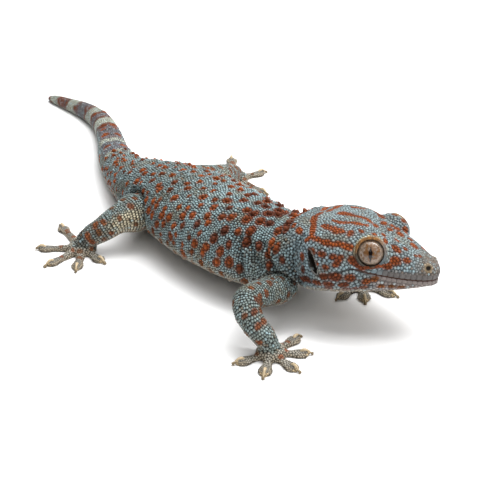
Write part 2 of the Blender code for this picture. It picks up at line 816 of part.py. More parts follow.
def centre_on_floor():
    """Hang every part on one empty, so that their box stands on the origin."""
    bpy.context.view_layer.update()
    corners = [
        piece.matrix_world @ vertex.co for piece in parts.objects for vertex in piece.data.vertices
    ]
    middle_x = (min(c.x for c in corners) + max(c.x for c in corners)) / 2
    middle_y = (min(c.y for c in corners) + max(c.y for c in corners)) / 2
    lowest = min(c.z for c in corners)
    stand = bpy.data.objects.new("stance", None)
    stand.location = (-middle_x, -middle_y, -lowest)
    bpy.context.scene.collection.objects.link(stand)
    for piece in parts.objects:
        piece.parent = stand


chance = random.Random(TUBERCLE_SEED)
clear_scene()
build_trunk()
build_head()
build_eye("eye_left", 1)
build_eye("eye_right", -1)
build_limb("fore_right", "upper_arm_right", "forearm_right", "forefoot_right")
build_limb("fore_left", "upper_arm_left", "forearm_left", "forefoot_left")
build_limb("hind_right", "thigh_right", "shank_right", "hindfoot_right")
build_limb("hind_left", "thigh_left", "shank_left", "hindfoot_left")
centre_on_floor()
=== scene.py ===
import math
import random

import bpy
import numpy as np
from mathutils import Euler, Matrix, Vector
from mathutils.bvhtree import BVHTree
from mathutils.kdtree import KDTree


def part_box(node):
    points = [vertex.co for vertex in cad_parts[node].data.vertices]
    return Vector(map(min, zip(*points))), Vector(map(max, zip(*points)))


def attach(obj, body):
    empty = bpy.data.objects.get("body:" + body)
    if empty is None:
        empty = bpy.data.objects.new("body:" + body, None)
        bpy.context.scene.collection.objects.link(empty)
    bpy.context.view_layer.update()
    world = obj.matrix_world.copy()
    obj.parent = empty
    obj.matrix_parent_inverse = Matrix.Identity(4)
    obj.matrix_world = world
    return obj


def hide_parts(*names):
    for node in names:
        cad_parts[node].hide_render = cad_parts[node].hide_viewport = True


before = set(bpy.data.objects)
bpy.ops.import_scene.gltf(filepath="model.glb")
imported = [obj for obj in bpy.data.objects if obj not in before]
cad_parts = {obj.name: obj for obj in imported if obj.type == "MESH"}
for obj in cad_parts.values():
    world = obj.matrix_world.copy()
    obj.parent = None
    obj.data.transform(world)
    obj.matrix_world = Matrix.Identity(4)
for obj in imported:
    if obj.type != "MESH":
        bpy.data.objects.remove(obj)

bl_info = {
    "name": "Tokay gecko",
    "version": (1, 0, 0),
    "blender": (4, 5, 0),
    "location": "View3D > Sidebar > Gecko",
    "description": "Builds a life-size tokay gecko with its skin, scales, eyes, claws and stage",
    "category": "Add Mesh",
}

# Lengths here are in millimetres on the animal's own frame: x runs from the tail to the chest,
# y to its left and z up. move_out() turns them into metres on the shared frame.
MM = 0.001
SEED = 29

# The axis of the animal from the tail's tip to the neck: x, y, z, half width, half height.
SPINE = (
    (-151.6, 31.2, 1.3, 1.2, 1.2),
    (-140.2, 32.4, 2.5, 2.8, 2.6),
    (-122.7, 33.4, 3.6, 4.0, 3.7),
    (-106.1, 30.2, 4.3, 4.8, 4.4),
    (-87.2, 21.4, 5.2, 5.8, 5.3),
    (-72.0, 12.8, 6.2, 6.8, 6.3),
    (-53.5, 5.4, 7.8, 8.3, 7.6),
    (-31.0, 1.0, 12.2, 13.0, 9.8),
    (-18.0, 0.6, 14.3, 16.4, 11.1),
    (0.0, -0.2, 15.9, 19.0, 12.3),
    (16.0, -0.8, 16.4, 19.4, 12.8),
    (32.0, -1.0, 16.7, 17.9, 12.8),
    (43.0, 0.8, 17.4, 15.9, 12.4),
    (50.5, 3.0, 19.2, 14.8, 12.4),
)
# The head's own frame: forward, to its left and up from the back of the skull. Its turn, dip and
# roll are in degrees.
HEAD_PLACE = (57.9, 5.3, 22.4)
HEAD_TURN = (25.5, 2.6, -7.8)
# The axis goes on through the head: forward, level, half width, half height.
SKULL = (
    (2.0, 0.0, 15.9, 13.2),
    (8.7, 1.7, 17.9, 13.2),
    (13.7, 2.2, 17.3, 12.8),
    (18.6, 2.4, 15.3, 11.8),
    (23.4, 2.2, 13.2, 10.4),
    (28.3, 2.0, 11.1, 8.9),
    (33.2, 1.8, 9.0, 7.3),
    (38.5, 1.4, 6.4, 5.2),
    (43.3, 1.3, 1.6, 2.0),
)
# Runs along the axis from the tail's tip: where the trunk and the head begin.
TRUNK_START = 108.0
HEAD_START = 218.0
# The trunk's scales come in three pieces: from where to where each one runs.
TRUNK_PIECES = (
    ("rear", TRUNK_START, 148.0),
    ("middle", 148.0, 184.0),
    ("front", 184.0, HEAD_START),
)
# The left eye, ear and nostril on the head's frame; tilts are in degrees.
EYE_PLACE = (22.5, 10.7, 7.8)
EYE_TILT = 14.0
EAR_PLACE = (5.2, 16.9, 1.7)
EAR_RADII = (1.12, 2.4, 4.15)
EAR_TILT = -30.0
NOSTRIL_PLACE = (40.2, 4.1, 4.3)
# The line of the mouth: its front end, its corner (forward, level and the curve that leads there)
# and its slope behind the corner.
MOUTH_TIP = 43.4
MOUTH_CORNER = (18.5, 2.1, 2.4)
MOUTH_BACK = 0.48
# Rows along the mouth: height over its line, pitch and kind.
LIP_ROWS = ((0.0, 0.45, "wall"), (1.12, 1.85, "plate"), (-0.8, 1.7, "plate"))
# The legs from inside the body down to the middle of each palm: x, y, z, radius.
LIMBS = {
    "fore_right": (
        (50.0, -1.0, 11.5, 6.8),
        (57.5, -10.0, 11.9, 5.7),
        (60.4, -21.0, 14.8, 4.7),
        (62.5, -28.7, 16.0, 4.7),
        (67.0, -30.7, 12.4, 4.4),
        (71.6, -28.9, 7.2, 3.9),
        (73.1, -27.3, 3.2, 3.2),
    ),
    "fore_left": (
        (48.0, 6.0, 13.0, 6.2),
        (46.0, 17.5, 12.4, 5.4),
        (46.2, 25.6, 13.6, 4.6),
        (49.4, 32.2, 13.6, 4.2),
        (55.4, 33.9, 10.2, 4.1),
        (59.8, 30.0, 6.2, 3.6),
        (60.4, 25.6, 3.2, 2.9),
    ),
    "hind_right": (
        (-22.0, 0.0, 11.6, 8.0),
        (-18.0, -9.0, 12.0, 8.0),
        (-15.6, -17.2, 12.6, 7.4),
        (-15.8, -24.4, 12.2, 5.5),
        (-17.4, -29.2, 9.5, 4.8),
        (-20.3, -33.0, 6.6, 4.2),
        (-23.0, -35.6, 3.4, 3.5),
    ),
    "hind_left": (
        (-28.0, 2.0, 12.0, 7.8),
        (-25.5, 12.0, 11.6, 7.0),
        (-22.8, 20.0, 11.4, 6.2),
        (-22.4, 27.0, 10.6, 5.2),
        (-24.8, 33.8, 8.6, 4.5),
        (-28.6, 40.0, 6.0, 3.9),
        (-31.5, 44.0, 3.2, 3.3),
    ),
}
# The toes from the first to the fifth: length to the claw's tip and heading in degrees.
TOES = {
    "fore_right": ((15.2, 97), (13.8, 52), (13.8, 2), (13.8, -51), (13.8, -105)),
    "fore_left": ((14.2, -83), (12.8, -37), (14.8, 17), (15.0, 66), (14.4, 118)),
    "hind_right": ((13.9, 2), (16.3, -43), (17.9, -85), (18.0, -132), (22.3, 170)),
    "hind_left": ((18.4, 6), (15.4, 82), (22.4, 145), (18.0, 194), (14.6, 243)),
}
TOE_RADIUS = 2.4
TOE_LEVEL = 0.9
CLAW_LENGTH = 4.4
# Axes are numbered: the body's is 0, the legs' follow in the order of LIMBS, then the toes'.
HIND_RIGHT = 3
FIRST_TOE = 5

LEG_PARTS = ("upper_arm", "forearm", "forefoot", "thigh", "shank", "hindfoot")
FLESH = ["tail_tip", "tail_middle", "tail_base", "torso", "neck", "head"]
FLESH += [f"{part}_{side}" for part in LEG_PARTS for side in ("left", "right")]

# Rows of spots on the head: first and last middle (forward, left, up), count, radius, mirrored.
HEAD_SPOTS = (
    ((27.6, 7.8, 10.3), (23.8, 1.8, 11.7), 3, 1.15, False),
    ((27.5, 2.4, 10.7), (33.6, 0.4, 8.8), 2, 1.45, False),
    ((21.2, 2.8, 12.9), (19.9, -1.9, 13.4), 2, 1.1, False),
    ((28.1, -2.5, 10.4), (31.9, -4.0, 9.2), 2, 0.95, False),
    ((30.9, 3.0, 9.8), (35.8, 3.8, 7.4), 2, 1.1, False),
    ((35.2, -4.2, 7.6), (36.8, -2.7, 7.2), 2, 0.65, False),
    ((28.9, -7.0, 9.8), (29.6, -6.4, 8.8), 2, 1.3, True),
    ((30.6, -9.1, 6.1), (33.8, -7.4, 6.0), 2, 1.4, True),
    ((18.0, -9.0, 13.2), (22.8, -10.5, 13.9), 2, 1.0, True),
    ((26.4, -9.7, 12.5), (23.9, -4.8, 12.0), 2, 1.1, True),
    ((15.1, -11.5, 12.9), (19.1, 6.8, 13.5), 2, 1.4, False),
    ((4.4, -16.9, 5.3), (11.8, -17.4, 5.7), 3, 1.15, True),
    ((14.4, -16.8, 5.1), (13.4, -17.3, 3.6), 2, 1.0, True),
    ((10.4, -17.8, 1.6), (6.9, -17.7, 1.9), 2, 0.9, True),
    ((1.1, -15.5, 2.1), (2.2, -16.0, -2.4), 2, 1.0, True),
    ((9.8, -17.5, -2.2), (13.6, -17.1, -1.3), 2, 1.1, True),
    ((13.8, -17.0, -1.7), (18.4, -15.2, -1.4), 2, 1.5, True),
    ((23.3, -13.0, -1.9), (25.5, -12.2, -0.9), 2, 1.05, True),
    ((4.0, -16.1, -5.1), (7.4, -16.6, -5.2), 2, 1.3, True),
    ((11.8, -16.1, -5.0), (16.2, -15.4, -4.1), 2, 1.5, True),
    ((16.8, -13.5, -6.4), (22.0, -12.4, -4.7), 2, 1.25, True),
    ((1.5, -14.7, -6.3), (20.0, -13.0, -5.4), 3, 0.9, True),
    ((27.5, -10.7, -3.4), (33.7, -8.2, -2.9), 3, 0.85, True),
    ((-5.9, -7.8, 8.7), (-2.2, -11.6, 9.3), 2, 1.6, True),
)
# Stripes on the head: the points that each runs through, its half width and whether it's mirrored.
HEAD_STRIPES = (
    (((3.4, -14.4, 9.2), (2.7, -12.4, 10.8), (1.2, -9.0, 11.8), (0.2, -5.0, 12.3),
      (0.8, -1.8, 12.8)), 1.2, True),
    (((3.0, -0.5, 13.6), (4.2, 3.5, 13.9), (4.7, 7.1, 13.7)), 1.1, False),
    (((1.5, -14.7, 7.6), (3.4, -14.8, 9.2), (5.8, -15.7, 9.4), (8.5, -16.3, 9.3)), 0.95, True),
    (((8.5, -16.3, 9.3), (11.2, -16.2, 9.3), (13.3, -15.6, 9.7), (16.9, -14.8, 9.0)), 1.1, True),
    (((5.7, -11.2, 12.8), (8.3, -12.4, 12.8), (10.9, -13.0, 12.7),
      (12.5, -12.3, 13.0)), 1.15, True),
    (((7.6, -8.4, 14.1), (10.2, -8.9, 14.3), (13.9, -7.6, 14.4), (18.2, -5.2, 14.0)), 0.8, False),
    (((8.4, -2.2, 14.8), (10.5, -2.4, 15.0)), 1.45, False),
    (((10.5, -2.4, 15.0), (13.0, -2.5, 15.0), (16.2, -0.7, 14.5), (17.9, -1.2, 14.0)), 1.0, False),
    (((9.6, 5.2, 14.9), (12.8, 6.6, 14.7)), 0.95, False),
    (((13.7, 11.1, 13.4), (16.5, 9.5, 13.6), (19.3, 6.0, 13.5)), 0.95, False),
    (((17.3, -15.6, 5.6), (18.3, -15.2, 4.6), (19.6, -14.8, 3.5)), 1.2, True),
    (((20.4, -14.6, 2.9), (21.6, -15.0, 2.8), (22.8, -15.0, 3.0), (24.0, -14.9, 3.5),
      (25.3, -14.7, 3.9), (26.1, -14.3, 4.1), (26.9, -13.7, 4.2), (28.7, -10.6, 4.3)), 1.15, True),
)
# Folds of loose skin behind the arms and across the neck: run along the body and angle round it.
FOLDS = (
    ((197.5, 146.0), (198.5, 160.0), (200.0, 174.0), (200.5, 196.0)),
    ((200.0, 144.0), (203.5, 162.0), (206.0, 180.0)),
    ((206.5, 150.0), (209.0, 166.0), (211.5, 183.0), (212.5, 196.0)),
    ((221.0, 146.0), (219.0, 168.0), (217.5, 188.0), (218.0, 208.0)),
)
# The tail's pale rings: the middle and half the width of each, in runs from the tip.
PALE_RINGS = ((6.4, 2.2), (20.0, 2.9), (38.2, 3.1), (54.3, 3.6), (81.3, 2.4), (97.0, 1.7))
# Pairs of spots on top of the tail: run and radius.
TAIL_PAIRS = ((43.5, 1.0), (61.6, 1.75), (65.6, 1.3), (74.0, 1.75), (89.0, 1.6))
# The name of the colour attribute that holds the markings.
MARKINGS = "markings"
# Gloss of the scales, and the strength of their finest grain and its depth in metres.
SKIN_GLOSS = 0.12
GRAIN_STRENGTH = 0.3
GRAIN_DEPTH = 0.00005
# The lowest level of skin and scales over the floor, in metres.
FLOOR_GAP = 0.00001
# Random roots that are tried over the area of each scale.
TRIES = 7.0
# How sharp the scales' corners are, and how far one may spread as a share of its reach.
SHARPNESS = 7.0
WIDEST_SPREAD = 0.64
# Half the side of one scale's own square on its piece's map.
MAP_REACH = 0.0015

# The lights on the shared frame: place, length and width in metres and share of the power. The
# key is a large panel over the animal's left side, so the shadows fall soft to its right. The
# strip is long and narrow, and draws the curved light in the eyes.
LIGHTS = {
    "key_light": (Vector((-0.19, 0.43, 1.16)), 1.6, 1.6, 0.78),
    "strip_light": (Vector((0.31, 0.4, 1.19)), 1.3, 0.17, 0.22),
    "side_light": (Vector((0.46, -0.765, 0.9)), 0.8, 0.8, 0.05),
    "front_light": (Vector((1.0, -0.1, 0.85)), 0.9, 0.9, 0.12),
}
# The point that the lights face and the way in which their long sides lie.
LIGHT_AIM = Vector((0.02, 0.0, 0.02))
LIGHT_WAY = Vector((1.09, 0.54, -0.39))
FLOOR_WHITE = (0.93, 0.93, 0.93, 1.0)
# The camera stands off the animal's right side and looks down at it.
CAMERA_PLACE = (334.907, -257.234, 235.697)
CAMERA_RIGHT = Vector((0.63826, 0.76982, 0.0))
CAMERA_AHEAD = Vector((-0.67330, 0.55823, -0.48481))


def srgb(red, green, blue):
    """A display colour of 0 to 255 as the linear triple that shaders work in."""
    shares = (red / 255.0, green / 255.0, blue / 255.0)
    return tuple(s / 12.92 if s <= 0.04045 else ((s + 0.055) / 1.055) ** 2.4 for s in shares)


def colour_property(name, red, green, blue):
    return bpy.props.FloatVectorProperty(
        name=name,
        description=name + " of the animal's skin or eyes",
        subtype="COLOR",
        size=3,
        min=0.0,
        max=1.0,
        default=srgb(red, green, blue),
    )


def length_property(name, description, default):
    return bpy.props.FloatProperty(
        name=name,
        description=description,
        default=default * MM,
        min=0.0,
        subtype="DISTANCE",
        unit="LENGTH",
    )


class GeckoSizes(bpy.types.PropertyGroup):
    voxel: length_property("Skin grain", "Grain of the one skin that is drawn over the body", 0.45)
    kept: bpy.props.FloatProperty(
        name="Skin kept",
        description="Share of the skin's faces kept once the scales are rooted",
        default=0.56,
        min=0.1,
        max=1.0,
        subtype="FACTOR",
    )
    coat: length_property("Coat depth", "How far the skin lies under the solids' surface", 0.2)
    trunk_scale: length_property("Trunk scale", "Distance between the trunk's scales", 0.94)
    head_scale: length_property("Head scale", "Distance between the cheek's scales", 1.02)
    limb_scale: length_property("Leg scale", "Distance between the legs' scales", 0.96)
    foot_scale: length_property("Foot scale", "Distance between the scales of palms and toes", 0.58)
    eye_radius: length_property("Eye radius", "Radius of the eyeball", 4.8)
    claw_radius: length_property("Claw radius", "Radius of a claw at its root", 0.62)


class GeckoColours(bpy.types.PropertyGroup):
    trunk: colour_property("Trunk", 117, 142, 149)
    olive: colour_property("Flank", 112, 102, 78)
    belly: colour_property("Belly", 158, 148, 134)
    head: colour_property("Head", 117, 139, 150)
    lip: colour_property("Lips", 98, 94, 92)
    chin: colour_property("Chin", 130, 120, 116)
    snout: colour_property("Snout tip", 105, 94, 85)
    limb: colour_property("Legs", 105, 115, 112)
    knee: colour_property("Thighs", 158, 150, 128)
    shank: colour_property("Shanks", 88, 88, 82)
    foot: colour_property("Feet", 142, 132, 115)
    pad: colour_property("Toe pads", 118, 116, 110)
    tail_pale: colour_property("Tail, pale rings", 143, 147, 135)
    tail_dark: colour_property("Tail, dark rings", 86, 84, 88)
    rust: colour_property("Tail, rusty rings", 98, 50, 30)
    spot: colour_property("Spots", 140, 65, 13)
    spot_dark: colour_property("Spots of the nape", 84, 36, 12)
    ochre: colour_property("Spots of the legs", 104, 64, 17)
    # The dark brown of painted shade: in the gaps between scales and in the ears, nostrils and eye
    # sockets.
    seam: colour_property("Between scales", 30, 24, 19)
    mouth: colour_property("Line of the mouth", 70, 46, 38)
    fold: colour_property("Rim of the ear", 132, 130, 124)
    rim: colour_property("Eye rim", 138, 94, 44)
    rim_pale: colour_property("Edge of the eye rim", 164, 158, 132)
    # The eye rim's colour with painted shade, for its lower part.
    rim_dark: colour_property("Eye rim below", 74, 66, 54)
    iris: colour_property("Iris", 126, 110, 96)
    iris_brown: colour_property("Iris by the pupil", 112, 72, 32)
    pupil: colour_property("Pupil", 14, 6, 5)
    claw: colour_property("Claws", 206, 184, 148)
    pale_scale: colour_property("Palest scales", 150, 175, 181)
    brown_scale: colour_property("Brownest scales", 104, 82, 60)


class GeckoStage(bpy.types.PropertyGroup):
    floor_size: bpy.props.FloatProperty(
        name="Floor size",
        description="Side of the floor",
        default=12.0,
        min=1.0,
        subtype="DISTANCE",
        unit="LENGTH",
    )
    power: bpy.props.FloatProperty(
        name="Light",
        description="Power of which each light takes its share",
        default=38.5,
        min=0.0,
        unit="POWER",
    )
    sky: bpy.props.FloatProperty(
        name="Sky",
        description="Strength of the white surroundings",
        default=0.05,
        min=0.0,
    )
    lens: bpy.props.FloatProperty(
        name="Lens",
        description="Focal length",
        default=97.5,
        min=1.0,
        unit="CAMERA",
    )


# ---- frames and axes


def head_frame():
    yaw, dip, roll = (math.radians(angle) for angle in HEAD_TURN)
    return (
        Matrix.Translation(HEAD_PLACE)
        @ Matrix.Rotation(yaw, 4, "Z")
        @ Matrix.Rotation(dip, 4, "Y")
        @ Matrix.Rotation(roll, 4, "X")
    )


def on_side(place, side):
    """A place on the head's left side, or the same on its right where side is -1."""
    return np.array((place[0], side * place[1], place[2]))


def stance():
    """The shift from the animal's frame to the shared one, found from its right eye."""
    low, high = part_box("eye_right")
    return np.array((low + high) / (2 * MM) - head_frame() @ Vector(on_side(EYE_PLACE, -1)))


def in_head(points):
    """Points of the animal's frame moved to the head's own."""
    turn = np.array(head_frame().inverted())
    return points @ turn[:3, :3].T + turn[:3, 3]


def move_out(points, shift):
    return (np.asarray(points) + shift) * MM


def unit(rows):
    return rows / np.maximum(np.linalg.norm(rows, axis=-1, keepdims=True), 1e-9)


def dot(first, second):
    return (first * second).sum(-1)


def grow_tree(points):
    """A tree that finds the points nearest to any place."""
    tree = KDTree(len(points))
    for number, point in enumerate(points):
        tree.insert(point, number)
    tree.balance()
    return tree


def read_points(mesh, key):
    """The places or the normals of a mesh's vertices."""
    values = np.empty(len(mesh.vertices) * 3)
    mesh.vertices.foreach_get(key, values)
    return values.reshape(-1, 3)


def write_points(mesh, points):
    mesh.vertices.foreach_set("co", points.ravel())
    mesh.update()


def smooth_rows(rows, step):
    """A smooth curve through the rows, sampled evenly along its length."""
    rows = np.array(rows, float)
    padded = np.vstack([2 * rows[0] - rows[1], rows, 2 * rows[-1] - rows[-2]])
    share = np.linspace(0.0, 1.0, 16, endpoint=False)[:, None]
    dense = []
    for a, b, c, d in zip(padded, padded[1:], padded[2:], padded[3:]):
        curve = b + 0.5 * share * (c - a)
        curve = curve + share**2 * (a - 2.5 * b + 2.0 * c - 0.5 * d)
        dense.append(curve + share**3 * (1.5 * (b - c) + 0.5 * (d - a)))
    dense = np.vstack(dense + [rows[-1:]])
    steps = np.linalg.norm(np.diff(dense[:, :3], axis=0), axis=1)
    run = np.concatenate([[0.0], np.cumsum(steps)])
    at = np.arange(0.0, run[-1], step)
    return at, np.column_stack([np.interp(at, run, column) for column in dense.T])


class Axis:
    """A curve inside the body, with a direction ahead, to the side and up at every station."""

    step = 1.0

    def __init__(self, name, rows, upright=True):
        self.name = name
        self.run, dense = smooth_rows(rows, self.step)
        self.place = dense[:, :3]
        self.wide = dense[:, 3]
        self.tall = dense[:, 4] if dense.shape[1] > 4 else dense[:, 3]
        self.ahead = unit(np.gradient(self.place, axis=0))
        if upright:
            self.left = unit(np.cross([0.0, 0.0, 1.0], self.ahead))
        else:
            left = np.cross([0.0, 0.0, 1.0], self.ahead[0])
            self.left = np.empty_like(self.ahead)
            for number, ahead in enumerate(self.ahead):
                left = left - ahead * (left @ ahead)
                left = left / np.linalg.norm(left)
                self.left[number] = left
        self.up = np.cross(self.ahead, self.left)

    def girth(self, station):
        """The mean of half the width and half the height."""
        return 0.5 * (self.wide[station] + self.tall[station])

    def roll(self, degrees, start, length):
        turn = math.radians(degrees) * np.clip((self.run - start) / length, 0.0, 1.0)[:, None]
        left = self.left * np.cos(turn) + self.up * np.sin(turn)
        self.up = self.up * np.cos(turn) - self.left * np.sin(turn)
        self.left = left

    def locate(self, points):
        """The nearest station, the angle round the axis and the reach as a share of the radius."""
        station = np.empty(len(points), int)
        block_size = 6000
        own = (self.place**2).sum(1)[None]
        for start in range(0, len(points), block_size):
            block = points[start : start + block_size]
            gap = (block**2).sum(1)[:, None] - 2 * block @ self.place.T + own
            station[start : start + block_size] = gap.argmin(1)
        arm = points - self.place[station]
        side = dot(arm, self.left[station])
        rise = dot(arm, self.up[station])
        beyond = dot(arm, self.ahead[station])
        wide, tall = self.wide[station], self.tall[station]
        ratio = np.sqrt((side / wide) ** 2 + (rise / tall) ** 2 + (beyond / wide) ** 2)
        return station, np.arctan2(rise, side), ratio


def body_axis():
    frame_of_head = head_frame()
    rows = list(SPINE)
    for forward, level, wide, tall in SKULL:
        rows.append((*(frame_of_head @ Vector((forward, 0.0, level))), wide, tall))
    axis = Axis("body", rows)
    axis.roll(HEAD_TURN[2], HEAD_START - 6.0, 12.0)
    return axis


def along_toe(name, heading, reach):
    """Where a toe lies, seen from above, at a distance from the middle of its palm."""
    x, y, _, _ = LIMBS[name][-1]
    turn = math.radians(heading)
    return x + math.cos(turn) * reach, y + math.sin(turn) * reach


def all_axes():
    """The body, then the four legs, then each foot's five toes."""
    axes = [body_axis()]
    for name, rows in LIMBS.items():
        axes.append(Axis(name, rows, upright=False))
    for name, toes in TOES.items():
        for length, heading in toes:
            reaches = (3.0, length / 2, length)
            rows = [(*along_toe(name, heading, reach), TOE_LEVEL, TOE_RADIUS) for reach in reaches]
            axes.append(Axis("toes_" + name, rows))
    return axes


def on_leg(part):
    return (part >= 1) & (part < FIRST_TOE)


def mouth_level(forward):
    corner, rise, curve = MOUTH_CORNER
    ahead = rise * np.clip((MOUTH_TIP - forward) / (MOUTH_TIP - corner), 0.0, 1.0) ** curve
    return np.where(forward < corner, rise - MOUTH_BACK * (corner - forward), ahead)


def eye_frame(side):
    """The eyeball's middle and its frame: out of the socket, forward and up."""
    tilt = math.radians(EYE_TILT)
    rotation = head_frame().to_3x3()
    out = Vector((math.sin(tilt), side * math.cos(tilt), math.sin(tilt)))
    out = rotation @ out.normalized()
    upward = rotation @ Vector((0.0, 0.0, 1.0))
    upward = (upward - out * upward.dot(out)).normalized()
    along = upward.cross(out)
    centre = head_frame() @ Vector(on_side(EYE_PLACE, side))
    return centre, Matrix((out, along, upward)).transposed()


def round_eye(points, side):
    """Points on an eyeball's frame, and how far each lies from the line through its pupil."""
    centre, rotation = eye_frame(side)
    arm = (points - np.array(centre)) @ np.array(rotation)
    return arm, np.hypot(arm[:, 1], arm[:, 2])


# ---- the skin as a chart


class Chart:
    """Where every part of the skin lies: its axis, its run and angle, its normals and its marks."""

    def __init__(self):
        mesh = bpy.data.objects["skin"].data
        mesh.calc_loop_triangles()
        self.shift = stance()
        self.vertices = read_points(mesh, "co") / MM - self.shift
        self.normals = read_points(mesh, "normal")
        triangles = np.empty(len(mesh.loop_triangles) * 3, np.int32)
        mesh.loop_triangles.foreach_get("vertices", triangles)
        self.triangles = triangles.reshape(-1, 3)
        self.tree = BVHTree.FromPolygons(self.vertices.tolist(), self.triangles.tolist())
        self.axes = all_axes()
        self.part, self.run, self.angle = self.parts_of(self.vertices)
        self.head = head_frame()
        self.marks = []
        self.stripes = []
        self.mark_everything()

    def parts_of(self, points):
        """For each point the number of its axis, the run along it and the angle round it."""
        best = np.full(len(points), 1e9)
        part = np.zeros(len(points), int)
        run = np.zeros(len(points))
        angle = np.zeros(len(points))
        for number, axis in enumerate(self.axes):
            low = axis.place.min(0) - 24.0
            high = axis.place.max(0) + 24.0
            near = np.flatnonzero(((points > low) & (points < high)).all(1))
            if len(near) == 0:
                continue
            station, around, ratio = axis.locate(points[near])
            nearer = ratio < best[near]
            chosen = near[nearer]
            best[chosen] = ratio[nearer]
            part[chosen] = number
            run[chosen] = axis.run[station[nearer]]
            angle[chosen] = around[nearer]
        return part, run, angle

    def snap(self, point):
        place, _, face, _ = self.tree.find_nearest(Vector(point))
        return np.array(place), face

    def normal_at(self, faces):
        return unit(self.normals[self.triangles[faces]].sum(1))

    def part_at(self, face):
        return self.part[self.triangles[face][0]]

    def cast(self, axis, station, angle, reach=1.35):
        """The skin straight out from an axis, or None where it lies too far."""
        side = axis.wide[station] * math.cos(angle)
        rise = axis.tall[station] * math.sin(angle)
        length = math.hypot(side, rise)
        ray = (axis.left[station] * side + axis.up[station] * rise) / length
        place, _, face, _ = self.tree.ray_cast(
            Vector(axis.place[station]), Vector(ray), length * reach + 0.8
        )
        if place is None:
            return None
        return np.array(place), face

    def station_at(self, axis, at, angle):
        """The station of a cross row, which slants back as it goes down the trunk's sides."""
        if axis is self.axes[0]:
            fade = min(max((at - 104.0) / 12.0, 0.0), 1.0) * min(max((216.0 - at) / 10.0, 0.0), 1.0)
            at = at - 5.0 * (1.0 - math.sin(angle)) * fade
        return min(max(int(round(at / axis.step)), 0), len(axis.run) - 1)

    def add_mark(self, place, face, along, radius, kind, stretch=1.35):
        normal = self.normal_at(np.array([face]))[0]
        along = along - normal * (along @ normal)
        along = along / max(np.linalg.norm(along), 1e-6)
        self.marks.append(
            (place, normal, along, radius * math.sqrt(stretch), radius / math.sqrt(stretch), kind)
        )

    def mark_everything(self):
        chance = random.Random(SEED)
        self.mark_trunk(chance)
        self.mark_tail(chance)
        self.mark_head(chance)
        self.mark_limbs(chance)
        place, normal, along, long, short, kind = (np.array(column) for column in zip(*self.marks))
        across = np.cross(normal, along)
        self.mark_place = place
        self.mark_tree = grow_tree(place)
        self.mark_rays = np.stack([along / long[:, None], across / short[:, None], normal / 2.2], 1)
        self.mark_kind = kind
        tones = np.random.default_rng(SEED + 6).uniform(-0.05, 0.6, len(self.marks))
        self.mark_tone = np.where(self.mark_kind == "head", 0.2, tones)
        self.head_mark = int(np.flatnonzero(self.mark_kind == "head")[0])

    def mark_trunk(self, chance):
        """Staggered cross rows of spots, larger by the shoulders and largest on the nape."""
        axis = self.axes[0]
        row = 0
        at = 98.0
        while at < HEAD_START + 1.5:
            front = min(max((at - 120.0) / 40.0, 0.0), 1.0)
            nape = min(max((at - 180.0) / 20.0, 0.0), 1.0)
            pitch = (4.4 + 0.4 * front) / axis.girth(int(at / axis.step))
            count = int(math.radians(255.0) / pitch)
            for number in range(count + 1):
                angle = math.radians(90.0) + pitch * (number - count / 2 + 0.5 * (row % 2))
                angle += chance.uniform(-0.26, 0.26) * pitch
                if chance.random() < 0.07:
                    continue
                lateral = min(abs(angle - math.pi / 2) / math.radians(70.0), 1.0)
                radius = 1.14 + 0.22 * front + nape * 0.7 * (1.0 - 0.75 * lateral)
                radius *= chance.uniform(0.75, 1.25) * (1.0 + 0.12 * nape)
                here = self.station_at(axis, at + chance.uniform(-1.1, 1.1), angle)
                found = self.cast(axis, here, angle)
                if found is None or self.part_at(found[1]) != 0:
                    continue
                normal = self.normal_at(np.array([found[1]]))[0]
                lie = np.cross(axis.ahead[here], normal) * (1 if math.cos(angle) > 0 else -1)
                lie = lie + axis.ahead[here] * chance.uniform(-0.2, 0.8)
                self.add_mark(found[0], found[1], lie, radius, "trunk", 1.12 + 0.3 * lateral)
            at += 4.5
            row += 1

    def mark_tail(self, chance):
        """Pairs of flat spots on top of the tail, with a few lower on its thick end."""
        axis = self.axes[0]
        for at, radius in TAIL_PAIRS:
            for spread in (26.0, 78.0) if at > 80 else (26.0,):
                for side in (-1, 1):
                    angle = math.radians(90.0 + side * spread + chance.uniform(-3, 3))
                    here = int((at + chance.uniform(-0.5, 0.5)) / axis.step)
                    found = self.cast(axis, here, angle)
                    if found:
                        wide = radius * chance.uniform(0.9, 1.1)
                        self.add_mark(*found, axis.left[here], wide, "tail", 1.2)

    def mark_head(self, chance):
        turn = np.array(self.head)
        for points, width, mirrored in HEAD_STRIPES:
            for flip in (1, -1) if mirrored else (1,):
                line = np.array(points) * (1, flip, 1)
                line = line @ turn[:3, :3].T + turn[:3, 3]
                self.stripes.append((np.array([self.snap(point)[0] for point in line]), width))
        for start, end, count, radius, mirrored in HEAD_SPOTS:
            start, end = Vector(start), Vector(end)
            for flip in (1, -1) if mirrored else (1,):
                for number in range(count):
                    point = start.lerp(end, number / max(count - 1, 1))
                    jitter = Vector([chance.uniform(-0.35, 0.35) for _ in range(3)])
                    point = Vector((point.x, point.y * flip, point.z)) + jitter
                    place, face = self.snap(self.head @ point)
                    line = Vector(((end - start).x, (end - start).y * flip, (end - start).z))
                    along = np.array(self.head.to_3x3() @ line.normalized())
                    wide = radius * chance.uniform(0.85, 1.15) * (1.3 if point.z < 6.0 else 1.05)
                    self.add_mark(place, face, along, wide, "head")

